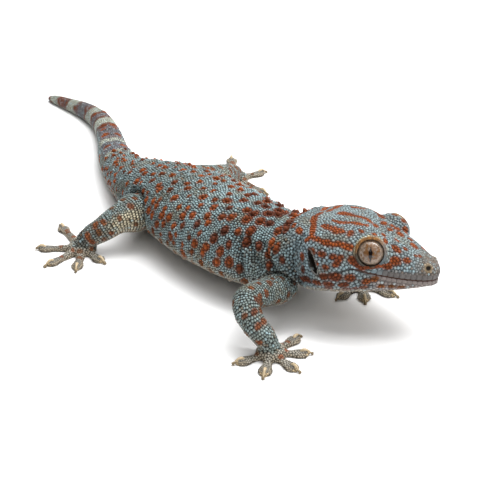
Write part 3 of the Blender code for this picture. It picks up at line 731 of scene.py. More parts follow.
    def mark_limbs(self, chance):
        for number, axis in enumerate(self.axes[1:], 1):
            toe = axis.name.startswith("toes_")
            pitch = 2.6 if toe else 3.7
            at = 2.5 if toe else 8.0
            row = 0
            while at < axis.run[-1] - (6.0 if toe else 2.0):
                station = int(at / axis.step)
                count = 1 if toe else 6
                for turn in range(count):
                    angle = math.tau * (turn + 0.5 * (row % 2)) / count
                    angle += chance.uniform(-0.3, 0.3)
                    if toe:
                        angle = math.pi / 2 + chance.uniform(-0.3, 0.3)
                    if chance.random() < 0.12:
                        continue
                    found = self.cast(axis, station, angle, 1.6)
                    if found is None or self.part_at(found[1]) != number:
                        continue
                    radius = chance.uniform(0.85, 1.15) if toe else chance.uniform(1.0, 1.5)
                    normal = self.normal_at(np.array([found[1]]))[0]
                    ahead = axis.ahead[station]
                    lie = np.cross(ahead, normal) + ahead * chance.uniform(-0.6, 0.6)
                    self.add_mark(*found, lie, radius, "foot" if toe else "limb")
                at += pitch
                row += 1

    def near_marks(self, points):
        """The three spots nearest to each point."""
        found = (self.mark_tree.find_n(point, 3) for point in points)
        return np.array([[index for _, index, _ in row] for row in found])

    def spot_share(self, points, near, soft):
        """How deep points (rows by columns) lie in the spots near their row, and in which one."""
        share = np.zeros(points.shape[:2])
        which = np.repeat(near[:, :1], points.shape[1], 1)
        for index in near.T:
            arm = points - self.mark_place[index][:, None]
            away = np.linalg.norm(np.einsum("nkj,nij->nki", arm, self.mark_rays[index]), axis=2)
            inside = np.clip((1.0 + soft - away) / (2 * soft), 0.0, 1.0)
            which = np.where(inside > share, index[:, None], which)
            share = np.maximum(share, inside)
        return share, which

    def stripe_share(self, points, soft):
        """How deep each point lies in a stripe; the stripes' edges are ragged."""
        share = np.zeros(len(points))
        on_head = np.flatnonzero(in_head(points)[:, 0] > -6.0)
        near = points[on_head]
        ragged = 1.0 + 0.28 * drift_noise(near, 3.4, 17)
        for line, width in self.stripes:
            width = width * ragged
            for first, last in zip(line, line[1:]):
                arm, way = near - first, last - first
                along = np.clip(arm @ way / (way @ way), 0.0, 1.0)
                away = np.linalg.norm(arm - along[:, None] * way, axis=1)
                inside = np.clip((width * (1.0 + soft) - away) / (2 * soft * width), 0.0, 1.0)
                share[on_head] = np.maximum(share[on_head], inside)
        return share

    def mark_share(self, points, soft=0.12):
        """How deep each point lies in a spot or stripe, from 0 to 1, and which spot it is."""
        share, which = self.spot_share(points[:, None], self.near_marks(points), soft)
        share, which = share[:, 0], which[:, 0]
        striped = self.stripe_share(points, soft)
        return np.maximum(share, striped), np.where(striped > share, self.head_mark, which)


def drift_noise(points, length, seed):
    """Smooth random values of about -1 to 1, changing over the given length."""
    chance = np.random.default_rng(seed)
    total = np.zeros(len(points))
    for _ in range(7):
        wave = unit(chance.normal(size=3)) / (length * chance.uniform(0.7, 1.5)) * math.tau
        total += np.sin(points @ wave + chance.uniform(0, math.tau))
    return total / 3.2


def blend(first, second, share):
    share = np.asarray(share)[..., None]
    return first * (1 - share) + second * share


def step_up(low, high, value):
    share = np.clip((value - low) / (high - low), 0.0, 1.0)
    return share * share * (3 - 2 * share)


class Surface:
    """Points of the skin with all that their colours depend on."""

    def __init__(self, points, normals, part, run, angle):
        self.points = points
        self.part = part
        self.run = run
        self.angle = angle
        self.rise = np.sin(angle)
        self.upward = normals[:, 2]
        self.local = in_head(points)
        self.forward = self.local[:, 0]
        self.above_mouth = self.local[:, 2] - mouth_level(self.forward)
        self.patch = drift_noise(points, 9.0, 3)
        self.low = step_up(0.15, -0.85, self.upward)
        self.lower_flank = step_up(-0.1, -0.6, self.rise)

    def sorts(self):
        """Where the points lie on the thin part of the tail, the head, the legs and the feet."""
        body = self.part == 0
        tail, head = body & (self.run < 100.0), body & (self.run > HEAD_START)
        return [tail, head, on_leg(self.part), self.part >= FIRST_TOE]

    def all_over(self, tone):
        return np.tile(tone, (len(self.points), 1))


def trunk_colours(tone, skin):
    """Blue-grey with olive patches, duller over the hips, olive and darkened with painted shade on
    the lower flanks, pale underneath.
    """
    rear = step_up(184.0, 157.0, skin.run)
    patches = 0.24 + 0.4 * np.clip(skin.patch, 0, 1)
    colour = blend(skin.all_over(tone["trunk"]), tone["olive"], patches)
    colour = blend(colour, tone["olive"], 0.12 * rear)
    # The lower flanks are darkened with painted shade.
    colour = colour * (1 - 0.34 * rear - 0.18 * skin.lower_flank)[:, None]
    colour = blend(colour, tone["olive"], 0.5 * skin.lower_flank)
    return blend(colour, tone["belly"], skin.low * 0.8)


def tail_colours(tone, skin, body_colour):
    """Pale rings with rusty edges, grey between them, and the body's colour towards the hips."""
    ragged = skin.run + 0.9 * drift_noise(skin.points, 5.0, 21)
    away = np.min([np.abs(ragged - middle) - width for middle, width in PALE_RINGS], axis=0)
    rust = step_up(3.6, 1.6, away) * np.clip(0.8 + 0.3 * drift_noise(skin.points, 3.0, 12), 0, 1)
    rust = np.maximum(rust, 0.9 * step_up(16.5, 13.0, skin.run)) * step_up(82.0, 72.0, skin.run)
    ringed = blend(skin.all_over(tone["tail_dark"]), tone["rust"], rust)
    ringed = blend(ringed, tone["tail_pale"], step_up(0.5, -0.4, away))
    thick_side = step_up(0.75, 0.35, skin.rise) * step_up(50.0, 72.0, skin.run)
    ringed = blend(ringed, body_colour, thick_side)
    ringed = blend(ringed, tone["tail_pale"], step_up(-0.2, -0.8, skin.rise) * 0.5)
    return blend(ringed, body_colour, step_up(93.0, 104.0, skin.run))


def head_colours(tone, skin):
    """Blue-grey, browner on the crown, with dark lips, a pale chin and a brown tip to the snout."""
    upward, forward, above_mouth = skin.upward, skin.forward, skin.above_mouth
    faded = 0.22 + 0.25 * np.clip(skin.patch, 0, 1) + 0.16 * step_up(0.2, 0.8, upward)
    colour = blend(skin.all_over(tone["head"]), tone["olive"], faded)
    lip = step_up(3.0, 2.0, above_mouth) * step_up(24.0, 29.0, forward)
    colour = blend(colour, tone["lip"], lip)
    throat = step_up(-0.4, -0.8, upward) * step_up(1.5, -0.5, above_mouth)
    colour = blend(colour, tone["belly"], throat)
    chin = step_up(0.0, -0.6, above_mouth) * step_up(20.0, 28.0, forward) * 0.85
    colour = blend(colour, tone["chin"], chin)
    snout = step_up(34.0, 40.0, forward) * step_up(1.0, 2.5, above_mouth) * 0.85
    return blend(colour, tone["snout"], snout)


def leg_colours(tone, skin):
    """Grey-green, with beige thighs, darker shanks and painted shade in the crease at each hind
    ankle.
    """
    colour = blend(skin.all_over(tone["limb"]), tone["olive"], 0.35 * np.clip(-skin.patch, 0, 1))
    hind = (skin.part >= HIND_RIGHT) & (skin.part < FIRST_TOE)
    beige = np.where(skin.part == HIND_RIGHT, 0.95, 0.25) * hind * step_up(0.93, 0.5, skin.rise)
    thigh = beige * step_up(15.0, 22.0, skin.run) * step_up(33.0, 27.0, skin.run)
    colour = blend(colour, tone["knee"], thigh)
    colour = blend(colour, tone["shank"], hind * step_up(27.0, 32.0, skin.run) * 0.8)
    # Painted shade in the crease at each hind ankle.
    ankle = hind * np.exp(-(((skin.run - 39.2) / 0.7) ** 2))
    colour = colour * (1 - 0.55 * ankle)[:, None]
    return blend(colour, tone["belly"], skin.low * 0.6)


def foot_colours(tone, skin, ends):
    """Beige webs and toes, with greyer pads and the colour of horn at the roots of the claws."""
    toe = blend(tone["foot"], tone["pad"], step_up(0.15, 0.65, skin.rise) * 0.9)
    web = blend(tone["limb"], tone["belly"], 0.6) * 1.1
    web = blend(web, tone["foot"], step_up(0.8, 0.4, skin.upward) * 0.9)
    colour = blend(web, toe, step_up(4.0, 8.0, skin.run))
    return blend(colour, tone["claw"] * 0.75, step_up(ends - 1.8, ends - 1.0, skin.run))


def nape_share(run):
    """How near each run is to the nape: 0 on the back and 1 behind the head."""
    return step_up(172.0, 196.0, run)


def add_spots(chart, tone, skin, colour, share):
    """Orange spots: darker on the nape, earthy on legs, feet and lower flanks, darkened with
    painted shade on the lower flanks, faint underneath.
    """
    own_share, which = chart.mark_share(skin.points)
    share = own_share if share is None else np.full(len(skin.points), share)
    kinds = chart.mark_kind[which]
    on_head = kinds == "head"
    jaw = np.where(on_head, step_up(1.5, -0.5, skin.above_mouth), 1.0)
    under = step_up(-0.35, -0.85, skin.upward) * jaw
    nape = nape_share(skin.run) * step_up(0.0, 0.6, skin.upward) * (kinds == "trunk")
    colour = colour * (1 - 0.26 * nape[:, None])
    deep = chart.mark_tone[which] + 0.3 * drift_noise(skin.points, 11.0, 5)
    deep = deep + 0.45 * nape
    deep = np.where(on_head, deep + 0.35 * step_up(0.4, 0.0, skin.upward), deep)
    orange = blend(tone["spot"], tone["spot_dark"], np.clip(deep, 0, 1))
    chin_side = 0.6 * step_up(20.0, 26.0, skin.forward) * step_up(0.0, -1.0, skin.above_mouth)
    earthy = np.select(
        [kinds == "limb", kinds == "foot", kinds == "trunk", on_head],
        [0.35, 0.4, 0.9 * skin.lower_flank, chin_side],
        0.0,
    )
    earthy = np.clip(earthy + 0.3 * drift_noise(skin.points, 7.0, 8) * (earthy > 0), 0, 1)
    # Spots are a dimmer tone on the head and legs, and darker with painted shade on the lower
    # flanks.
    dimmer_and_flank_shade = np.select([on_head, kinds == "limb"], [0.82, 0.74], 0.9 - 0.1 * skin.lower_flank)
    orange = blend(orange, tone["ochre"], earthy) * dimmer_and_flank_shade[:, None]
    weight = np.select([kinds == "foot", kinds == "limb", kinds == "tail"], [0.8, 0.85, 0.9], 0.96)
    return blend(colour, orange, share * weight * (1 - 0.8 * under)), share


def shade_creases(chart, tone, skin, colour, head):
    """Darkens the skin where the legs meet the body, in the mouth's line and in the folds."""
    body, *legs = chart.axes[:FIRST_TOE]
    ratio = body.locate(skin.points)[2]
    for axis in legs:
        leg = axis.locate(skin.points)[2]
        near = (leg < 1.6) & (ratio < 1.6) & (skin.run < HEAD_START)
        crease = near * np.exp(-(((ratio - leg) / 0.09) ** 2))
        colour = colour * (1 - 0.75 * crease[:, None])
    ajar = 0.3 + 0.7 * step_up(17.0, 20.0, skin.forward)
    colour = blend(colour, tone["mouth"], step_up(0.6, 0.28, mouth_gap(skin.local) / ajar) * head)
    behind_head = (skin.part == 0) & (skin.run < HEAD_START + 8.0)
    folds = fold_depth(body, skin.run, skin.angle) * behind_head
    return colour * (1 - 0.5 * folds[:, None])


def line_ears_and_nostrils(tone, skin, colour):
    """The ears' pale folds with painted shade in their openings, and the nostrils with their pale
    rings and painted shade inside.
    """
    for side in (-1, 1):
        ear = ear_depth(skin.local, side)
        fold = step_up(1.5, 1.25, ear) * step_up(2.5, 5.0, skin.forward) * 0.8
        colour = blend(colour, tone["fold"], fold)
        # Painted shade inside the ear's opening.
        colour = blend(colour, tone["seam"] * 0.7, step_up(1.1, 1.0, ear))
        away = np.linalg.norm(skin.local - on_side(NOSTRIL_PLACE, side), axis=1)
        ring_colour = 0.5 * (tone["rim"] + tone["rim_pale"])
        colour = blend(colour, ring_colour, step_up(1.9, 1.3, away) * 0.7)
        # Painted shade inside the nostril.
        colour = blend(colour, tone["seam"] * 0.8, step_up(1.0, 0.75, away))
    return colour


def line_eyes(tone, skin, colour, share):
    """The mottled gold ring of each eye, pale on its edge, with painted shade on its lower part and
    where it meets the ball.
    """
    for side in (-1, 1):
        arm, around = round_eye(skin.points, side)
        ahead, rise = arm[:, 1] * -side, arm[:, 2]
        outside = arm[:, 0] > 0.5
        ring = step_up(5.7, 5.3, around) * outside
        inner = step_up(4.3, 4.15, around) * outside
        mottle = 1.0 + 0.35 * drift_noise(skin.points, 1.6, 31)
        # Painted shade: the ring darkens towards its lower part.
        gold = blend(tone["rim_dark"], tone["rim"], step_up(-2.5, 1.5, rise)) * mottle[:, None]
        edge = step_up(5.1, 5.35, around) * step_up(-2.5, 0.0, rise)
        gold = blend(gold, tone["rim_pale"], edge)
        gold = blend(gold, tone["head"], step_up(1.0, 4.5, ahead) * 0.5)
        ring = ring * np.where(around > 4.6, 1.0 - share, 1.0)
        colour = np.where((ring > 0)[:, None], blend(colour, gold, ring * 0.9), colour)
        # Painted shade where the lid meets the ball, strongest under the upper lid.
        colour = blend(colour, tone["seam"] * 1.3, inner * (0.25 + 0.5 * step_up(-1.0, 2.5, rise)))
    return colour


def skin_colours(chart, skin, share=None):
    """The markings, the same for the scales and the skin between them.

    A given share of the spots' colour stands in for the one that each point's place gives.
    """
    palette = bpy.context.scene.gecko_colours
    tone = {key: np.array(getattr(palette, key)) for key in palette.__annotations__}
    colour = trunk_colours(tone, skin)
    tail = (skin.part == 0) & (skin.run < 112.0)
    colour = np.where(tail[:, None], tail_colours(tone, skin, colour), colour)
    head = step_up(HEAD_START - 9.0, HEAD_START + 4.0, skin.run) * (skin.part == 0)
    colour = blend(colour, head_colours(tone, skin), head)
    colour = np.where(on_leg(skin.part)[:, None], leg_colours(tone, skin), colour)
    ends = np.array([axis.run[-1] for axis in chart.axes])[skin.part]
    foot = skin.part >= FIRST_TOE
    colour = np.where(foot[:, None], foot_colours(tone, skin, ends), colour)
    colour, share = add_spots(chart, tone, skin, colour, share)
    colour = shade_creases(chart, tone, skin, colour, head)
    colour = line_ears_and_nostrils(tone, skin, colour)
    return line_eyes(tone, skin, colour, share)


def fold_depth(body, run, angle):
    """How deep each point lies in one of the folds, from 0 to 1; they're the same on both sides."""
    girth = body.girth(np.minimum((run / body.step).astype(int), len(body.run) - 1))
    turn = np.degrees(angle)
    right, left = np.where(turn < -90.0, turn + 360.0, turn), 180.0 - turn
    depth = np.zeros(len(run))
    for line in FOLDS:
        for degrees in (right, left):
            for (run_a, turn_a), (run_b, turn_b) in zip(line, line[1:]):
                arm = np.stack([run - run_a, np.radians(degrees - turn_a) * girth])
                way = np.stack([run_b - run_a + 0.0 * girth, np.radians(turn_b - turn_a) * girth])
                share = np.clip((arm * way).sum(0) / (way * way).sum(0), 0.0, 1.0)
                away = np.linalg.norm(arm - share * way, axis=0)
                depth = np.maximum(depth, np.exp(-((away / 0.9) ** 2)))
    return depth


def ear_depth(local, side):
    """1 on the edge of an ear's opening, less within it, for points on the head's frame."""
    ear = local - on_side(EAR_PLACE, side)
    tilt = math.radians(EAR_TILT)
    forward = ear[:, 0] * math.cos(tilt) - ear[:, 2] * math.sin(tilt)
    rise = ear[:, 0] * math.sin(tilt) + ear[:, 2] * math.cos(tilt)
    shape = np.stack([forward / EAR_RADII[0], ear[:, 1] / EAR_RADII[1], rise / EAR_RADII[2]])
    return np.sqrt((shape**2).sum(0))


# ---- making meshes


def new_object(name, mesh):
    piece = bpy.data.objects.new(name, mesh)
    bpy.context.scene.collection.objects.link(piece)
    return piece


def only(*pieces):
    """Leaves just these pieces selected, the first of them active."""
    bpy.ops.object.select_all(action="DESELECT")
    for piece in pieces:
        piece.select_set(True)
    bpy.context.view_layer.objects.active = pieces[0]


def apply_modifier(piece, kind, **values):
    modifier = piece.modifiers.new(kind.title(), kind)
    for key, value in values.items():
        setattr(modifier, key, value)
    only(piece)
    bpy.ops.object.modifier_apply(modifier=modifier.name)


def fatten(piece, amount):
    only(piece)
    bpy.ops.object.mode_set(mode="EDIT")
    bpy.ops.mesh.select_all(action="SELECT")
    bpy.ops.transform.shrink_fatten(value=amount)
    bpy.ops.object.mode_set(mode="OBJECT")


def set_colours(mesh, colours):
    layer = mesh.color_attributes.new(MARKINGS, "FLOAT_COLOR", "POINT")
    rows = np.ones((len(mesh.vertices), 4), np.float32)
    rows[:, :3] = np.clip(colours, 0.0, 1.0)
    layer.data.foreach_set("color", rows.ravel())


def finish_piece(piece, material):
    piece.data.materials.clear()
    piece.data.materials.append(material)
    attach(piece, "root")


def set_socket(tree, socket, value):
    """Sets a node's input to a value, or links it to another node's output."""
    if isinstance(value, bpy.types.NodeSocket):
        tree.links.new(value, socket)
    else:
        socket.default_value = value


def fill(tree, node, inputs):
    for name, value in inputs.items():
        set_socket(tree, node.inputs[name.replace("_", " ")], value)


def add_node(tree, kind, settings=None, **inputs):
    node = tree.nodes.new("ShaderNode" + kind)
    for key, value in (settings or {}).items():
        setattr(node, key, value)
    fill(tree, node, inputs)
    return node


def new_material(name):
    material = bpy.data.materials.new(name)
    material.use_nodes = True
    return material, material.node_tree


def finish_surface(tree, **inputs):
    fill(tree, tree.nodes["Principled BSDF"], inputs)


def add_maths(tree, operation, first, second=0.0):
    """One sum of two values, each a number or another node's output."""
    node = add_node(tree, "Math", {"operation": operation})
    for socket, value in zip(node.inputs, (first, second)):
        set_socket(tree, socket, value)
    return node.outputs[0]


def add_mix(tree, share, first, second):
    node = add_node(tree, "Mix", {"data_type": "RGBA"}, Factor=share, A=first, B=second)
    return node.outputs["Result"]


def add_ramp(tree, value, stops):
    """Colours at places along a ramp, in their order."""
    ramp = add_node(tree, "ValToRGB", Fac=value)
    elements = ramp.color_ramp.elements
    while len(elements) < len(stops):
        elements.new(0.5)
    for element, (place, colour) in zip(elements, stops):
        element.position = place
        element.color = (*[min(part, 1.0) for part in colour], 1.0)
    return ramp.outputs["Color"]


def add_mottle(tree, colour, grain, band, brightness):
    """A colour made uneven: the grain's band of values is spread over a range of brightness."""
    level = add_node(
        tree,
        "MapRange",
        Value=grain,
        From_Min=band[0],
        From_Max=band[1],
        To_Min=brightness[0],
        To_Max=brightness[1],
    )
    scale = level.outputs["Result"]
    tint = add_node(tree, "VectorMath", {"operation": "SCALE"}, Vector=colour, Scale=scale)
    return tint.outputs["Vector"]


def skin_material(name, roughness=0.44):
    """Markings from the colour attribute, with a finer mottle and grain laid over them."""
    material, tree = new_material(name)
    marks = add_node(tree, "Attribute", {"attribute_name": MARKINGS}).outputs["Color"]
    where = add_node(tree, "TexCoord").outputs["Object"]
    grain = add_node(tree, "TexNoise", Vector=where, Scale=2600.0, Detail=3.0).outputs["Fac"]
    bump = add_node(tree, "Bump", Strength=GRAIN_STRENGTH, Distance=GRAIN_DEPTH, Height=grain)
    finish_surface(
        tree,
        Base_Color=add_mottle(tree, marks, grain, (0.3, 0.7), (0.8, 1.2)),
        Normal=bump.outputs["Normal"],
        Roughness=roughness,
        Specular_IOR_Level=SKIN_GLOSS,
    )
    return material


# ---- roots of the scales


class Roots(list):
    """The places that scales grow from, gathered in order of their importance."""

    def add(self, place, face, reach, kind, lie=(0.0, 0.0, 0.0)):
        self.append((place, face, reach, kind, lie))


def scale_gap(points, part, run):
    """The distance between neighbouring scales at each point."""
    sizes = bpy.context.scene.gecko_sizes
    trunk, head = sizes.trunk_scale / MM, sizes.head_scale / MM
    limb, foot = sizes.limb_scale / MM, sizes.foot_scale / MM
    gap = np.full(len(points), trunk)
    gap = np.where((part == 0) & (run < 100), trunk * (0.8 + 0.2 * run / 100), gap)
    local = in_head(points)
    on_head = (part == 0) & (run > HEAD_START - 4)
    crown = step_up(9.0, 12.5, local[:, 2]) * 0.18
    snout = step_up(26.0, 38.0, local[:, 0]) * 0.26
    head = trunk + (head - trunk) * step_up(4.0, 12.0, local[:, 0])
    gap = np.where(on_head, head * (1.0 - np.maximum(crown, snout)), gap)
    gap = np.where(on_leg(part), limb, gap)
    return np.where(part >= FIRST_TOE, foot * (1.0 + 0.3 * step_up(7.0, 3.5, run)), gap)


def left_bare(points, normals):
    """True where no scale grows: in the sockets, ears and nostrils, and under the claws."""
    local = in_head(points)
    bare = np.zeros(len(points), bool)
    for side in (-1, 1):
        centre, _ = eye_frame(side)
        arm = np.array(centre) - points
        reach = np.linalg.norm(arm, axis=1)
        bare |= (reach < 5.15) | ((reach < 7.0) & (dot(normals, unit(arm)) > 0.2))
        bare |= ear_depth(local, side) < 1.05
        bare |= np.linalg.norm(local - on_side(NOSTRIL_PLACE, side), axis=1) < 1.3
    for name, toes in TOES.items():
        for length, heading in toes:
            tip = np.array((*along_toe(name, heading, length), 0.8))
            bare |= np.linalg.norm(points - tip, axis=1) < 1.5
    return bare


def mouth_gap(local):
    """How far each point on the head's frame lies from the line of the closed mouth."""
    gap = np.abs(local[:, 2] - mouth_level(local[:, 0]))
    inside = (local[:, 0] > 12.2) & (local[:, 0] < 46.0) & (np.abs(local[:, 1]) < 19.0)
    return np.where(inside, gap, 9.0)


def add_tubercles(chart, roots, chance):
    """A cone on each spot of the trunk, pale beads between them, and the whorls of the tail."""
    for place, _, along, _, short, kind in chart.marks:
        if kind == "trunk":
            roots.add(place, chart.snap(place)[1], min(max(short * 2.0, 1.5), 2.8), "cone", along)
    axis = chart.axes[0]
    for at in range(60, 104, 7):
        for number in range(9):
            angle = math.radians(-20.0 + 27.5 * number + chance.uniform(-4, 4))
            found = chart.cast(axis, int(at / axis.step), angle)
            if found:
                roots.add(*found, 1.35, "cone")
    at = 100.0
    row = 0
    while at < HEAD_START - 16.0:
        station = int(at / axis.step)
        pitch = 3.3 / axis.girth(station)
        count = int(math.radians(215.0) / pitch)
        for number in range(count + 1):
            angle = math.radians(90.0) + pitch * (number - count / 2 + 0.5 * (row % 2))
            angle += chance.uniform(-0.2, 0.2) * pitch
            found = chart.cast(axis, station, angle)
            if found is None or chart.part_at(found[1]) != 0 or chance.random() < 0.75:
                continue
            if chart.mark_tree.find(found[0])[2] < 1.8:
                continue
            roots.add(*found, chance.uniform(1.2, 1.6), "bead")
        at += 3.1
        row += 1


def lip_line(chart, side, offset):
    """Points along one side of the lips, from the snout's tip to the corner of the mouth."""
    line = []
    forward = MOUTH_TIP
    for degrees in range(0, 126 if offset == 0.0 else 104, 2):
        turn = math.radians(degrees)
        level = float(mouth_level(np.array(forward))) + offset
        start = chart.head @ Vector((20.0, 0.0, level))
        ray = chart.head.to_3x3() @ Vector((math.cos(turn), side * math.sin(turn), 0.0))
        place = chart.tree.ray_cast(start, ray)[0]
        if place is None:
            continue
        forward = (chart.head.inverted() @ place).x
        line.append(tuple(place))
    return line


def add_lip_plates(chart, roots):
    """The plates of both lips, and unseen roots along the mouth that keep a thin line clear."""
    for side in (-1, 1):
        for offset, pitch, kind in LIP_ROWS:
            line = lip_line(chart, side, offset)
            grain = 0.1
            _, dense = smooth_rows([(*point, 1.0) for point in line], grain)
            at = pitch * 0.5
            while at < len(dense) * grain - (0.2 if kind == "wall" else 9.0):
                here = int(at / grain)
                place, face = chart.snap(dense[here, :3])
                lie = dense[here + 1, :3] - dense[here, :3]
                roots.add(place, face, 0.3 if kind == "wall" else pitch, kind, lie)
                at += pitch


def add_ear_rims(chart, roots):
    """A ring of low scales along the edge of each ear's opening."""
    count = 44
    tilt = math.radians(EAR_TILT)
    for side in (-1, 1):
        for number in range(count):
            turn = math.tau * number / count
            forward = 1.16 * EAR_RADII[0] * math.cos(turn)
            rise = 1.06 * EAR_RADII[2] * math.sin(turn)
            x = EAR_PLACE[0] + forward * math.cos(tilt) + rise * math.sin(tilt)
            z = EAR_PLACE[2] - forward * math.sin(tilt) + rise * math.cos(tilt)
            place, face = chart.snap(chart.head @ Vector((x, side * (EAR_PLACE[1] + 0.6), z)))
            roots.add(place, face, 0.5, "rim")


def add_eye_rings(chart, roots):
    """Three rings of low scales round each eye: radius, distance out of the socket and count."""
    for side in (-1, 1):
        centre, rotation = eye_frame(side)
        for radius, out, count in ((4.62, 3.6, 60), (5.02, 3.6, 60), (5.5, 3.2, 56)):
            for number in range(count):
                turn = math.tau * number / count
                ideal = Vector((out, radius * math.cos(turn), radius * math.sin(turn)))
                place, face = chart.snap(centre + rotation @ ideal)
                roots.add(place, face, math.tau * radius / count, "rim")


def add_rows(chart, roots, chance):
    """Staggered rows of scales round the tail, the trunk, the neck and the legs."""
    for number, axis in enumerate(chart.axes[:FIRST_TOE]):
        at = 1.0 if number == 0 else 4.0
        last = HEAD_START - 6.0 if number == 0 else axis.run[-1] - 3.0
        row = 0
        while at < last:
            station = min(int(round(at / axis.step)), len(axis.run) - 1)
            here = axis.place[station][None]
            gap = float(scale_gap(here, np.array([number]), np.array([at]))[0])
            count = max(int(round(math.tau * axis.girth(station) / gap)), 5)
            for turn in range(count):
                angle = math.tau * (turn + 0.5 * (row % 2) + chance.uniform(-0.1, 0.1)) / count
                here = chart.station_at(axis, at + chance.uniform(-0.08, 0.08), angle)
                found = chart.cast(axis, here, angle, 1.3)
                if found and chart.part_at(found[1]) == number:
                    roots.add(*found, gap, "grain")
            at += gap * 0.88
            row += 1


def sample_skin(chart):
    """Random points over the skin, several to the area of each scale."""
    corners = chart.vertices[chart.triangles]
    cross = np.cross(corners[:, 1] - corners[:, 0], corners[:, 2] - corners[:, 0])
    area = 0.5 * np.linalg.norm(cross, axis=1)
    first = chart.triangles[:, 0]
    gap = scale_gap(corners.mean(1), chart.part[first], chart.run[first])
    expected = area / (0.866 * gap**2) * TRIES
    chance = np.random.default_rng(SEED)
    count = np.floor(expected + chance.random(len(expected))).astype(int)
    faces = np.repeat(np.arange(len(count)), count)
    share = chance.random((len(faces), 2))
    flip = share.sum(1) > 1
    share[flip] = 1 - share[flip]
    picked = corners[faces]
    points = picked[:, 0] + share[:, :1] * (picked[:, 1] - picked[:, 0])
    points = points + share[:, 1:] * (picked[:, 2] - picked[:, 0])
    order = chance.permutation(len(points))
    return points[order], faces[order], gap[faces][order]


def gather_roots(chart):
    """All roots of scales, none of them too near to one that matters more."""
    chance = random.Random(SEED + 1)
    roots = Roots()
    add_lip_plates(chart, roots)
    add_eye_rings(chart, roots)
    add_ear_rims(chart, roots)
    add_tubercles(chart, roots, chance)
    add_rows(chart, roots, chance)
    fixed = len(roots)
    points, faces, gaps = sample_skin(chart)
    for sample in zip(points, faces, gaps):
        roots.add(*sample, "grain")
    place, face, reach, kind, lie = (np.array(column) for column in zip(*roots))
    normal = chart.normal_at(face)
    bare = left_bare(place, normal) & (kind != "rim") & (kind != "wall")
    tree = grow_tree(place)
    alive = ~bare
    keep = []
    widest = float(gaps.max())
    for number in range(len(place)):
        if not alive[number]:
            continue
        keep.append(number)
        own = reach[number]
        factor = 0.86 if number >= fixed else 0.95 if kind[number] == "plate" else 0.74
        near = tree.find_range(place[number], 0.5 * factor * (own + max(own, widest)))
        for _, other, gap in near:
            if other > number and gap < 0.5 * factor * (own + reach[other]):
                alive[other] = False
    keep = np.array(keep)
    place, face, reach, kind, lie = place[keep], face[keep], reach[keep], kind[keep], lie[keep]
    usable = points[~bare[fixed:]]
    for loose in (kind == "grain", keep >= fixed):
        place, face = relax(chart, place, face, loose, usable)
    return place, face, reach, kind, lie


def relax(chart, place, face, loose, points):
    """Moves each loose root to the middle of the skin that is nearest to it."""
    tree = grow_tree(place)
    owner = np.array([tree.find(point)[1] for point in points])
    count = np.bincount(owner, minlength=len(place))
    middle = np.stack([np.bincount(owner, points[:, k], len(place)) for k in range(3)], 1)
    middle = middle / np.maximum(count, 1)[:, None]
    place = place.copy()
    face = face.copy()
    for number in np.flatnonzero(loose & (count > 2)):
        place[number], face[number] = chart.snap(middle[number])
    return place, face


# ---- the scales themselves


def outlines(place, normal, along, reach, sides):
    """How far each scale spreads in every direction before it meets its neighbours."""
    tree = grow_tree(place)
    near = 14
    index = np.empty((len(place), near), int)
    for number, point in enumerate(place):
        found = tree.find_n(point, near + 1)
        index[number] = [other for _, other, _ in found if other != number][:near]
    offset = place[index] - place[:, None]
    length = np.linalg.norm(offset, axis=2)
    flat = unit(offset - dot(offset, normal[:, None])[..., None] * normal[:, None])
    bound = length * (reach[:, None] / (reach[:, None] + reach[index]))
    facing = dot(normal[index], normal[:, None]) > 0.0
    across = np.cross(normal, along)
    turns = (math.tau * np.arange(sides) / sides)[None, :, None]
    rays = along[:, None] * np.cos(turns) + across[:, None] * np.sin(turns)
    lean = np.einsum("njk,nsk->nsj", flat, rays)
    limit = np.where((lean > 0.12) & facing[:, None], bound[:, None] / np.maximum(lean, 0.12), 9.0)
    spread = (limit**-SHARPNESS).sum(2) ** (-1 / SHARPNESS)
    return rays, np.minimum(spread, WIDEST_SPREAD * reach[:, None])


# The profile of each kind of scale from its sunk edge to its shoulder: share of the outline, of
# the height and of the colour's brightness, which paints shade towards the edge; then the
# brightness of its top, a painted highlight.
PROFILES = {
    "grain": (((0.99, -0.5, 0.0), (0.77, 0.5, 0.8)), 2.25),
    "plate": (((0.99, -0.4, 0.7), (0.86, 0.8, 0.97)), 1.08),
    "rim": (((0.97, -0.4, 0.3), (0.84, 0.6, 1.0)), 1.2),
    "bead": (((1.0, -0.3, 0.0), (0.88, 0.3, 0.85), (0.54, 0.8, 1.3)), 1.5),
    "cone": (((1.0, -0.3, 0.1), (0.86, 0.25, 0.65), (0.5, 0.78, 1.2)), 1.5),
}
SIDES = {"grain": 7, "plate": 16, "rim": 7, "bead": 9, "cone": 9}


def gap_light(skin):
    """How bright the skin between the scales and the scales' edges are, as a share of their own
    colour; the rest is painted shade.
    """
    gap = mouth_gap(skin.local)
    tail = 0.3 - 0.15 * step_up(50.0, 90.0, skin.run)
    head = 0.32 + 0.35 * step_up(32.0, 39.0, skin.forward)
    below = step_up(0.5, -1.0, skin.above_mouth) * step_up(22.0, 28.0, skin.forward)
    head = np.maximum(head, 0.7 * below)
    head = np.where((gap < 2.6) & (skin.forward > 26.0), 0.7, head)
    head = np.where((gap < 0.95) & (skin.forward > 19.0), 0.9, head)
    foot = 0.25 + 0.25 * step_up(4.0, 8.0, skin.run)
    return np.select(skin.sorts(), [tail, head, 0.16, foot], 0.1)


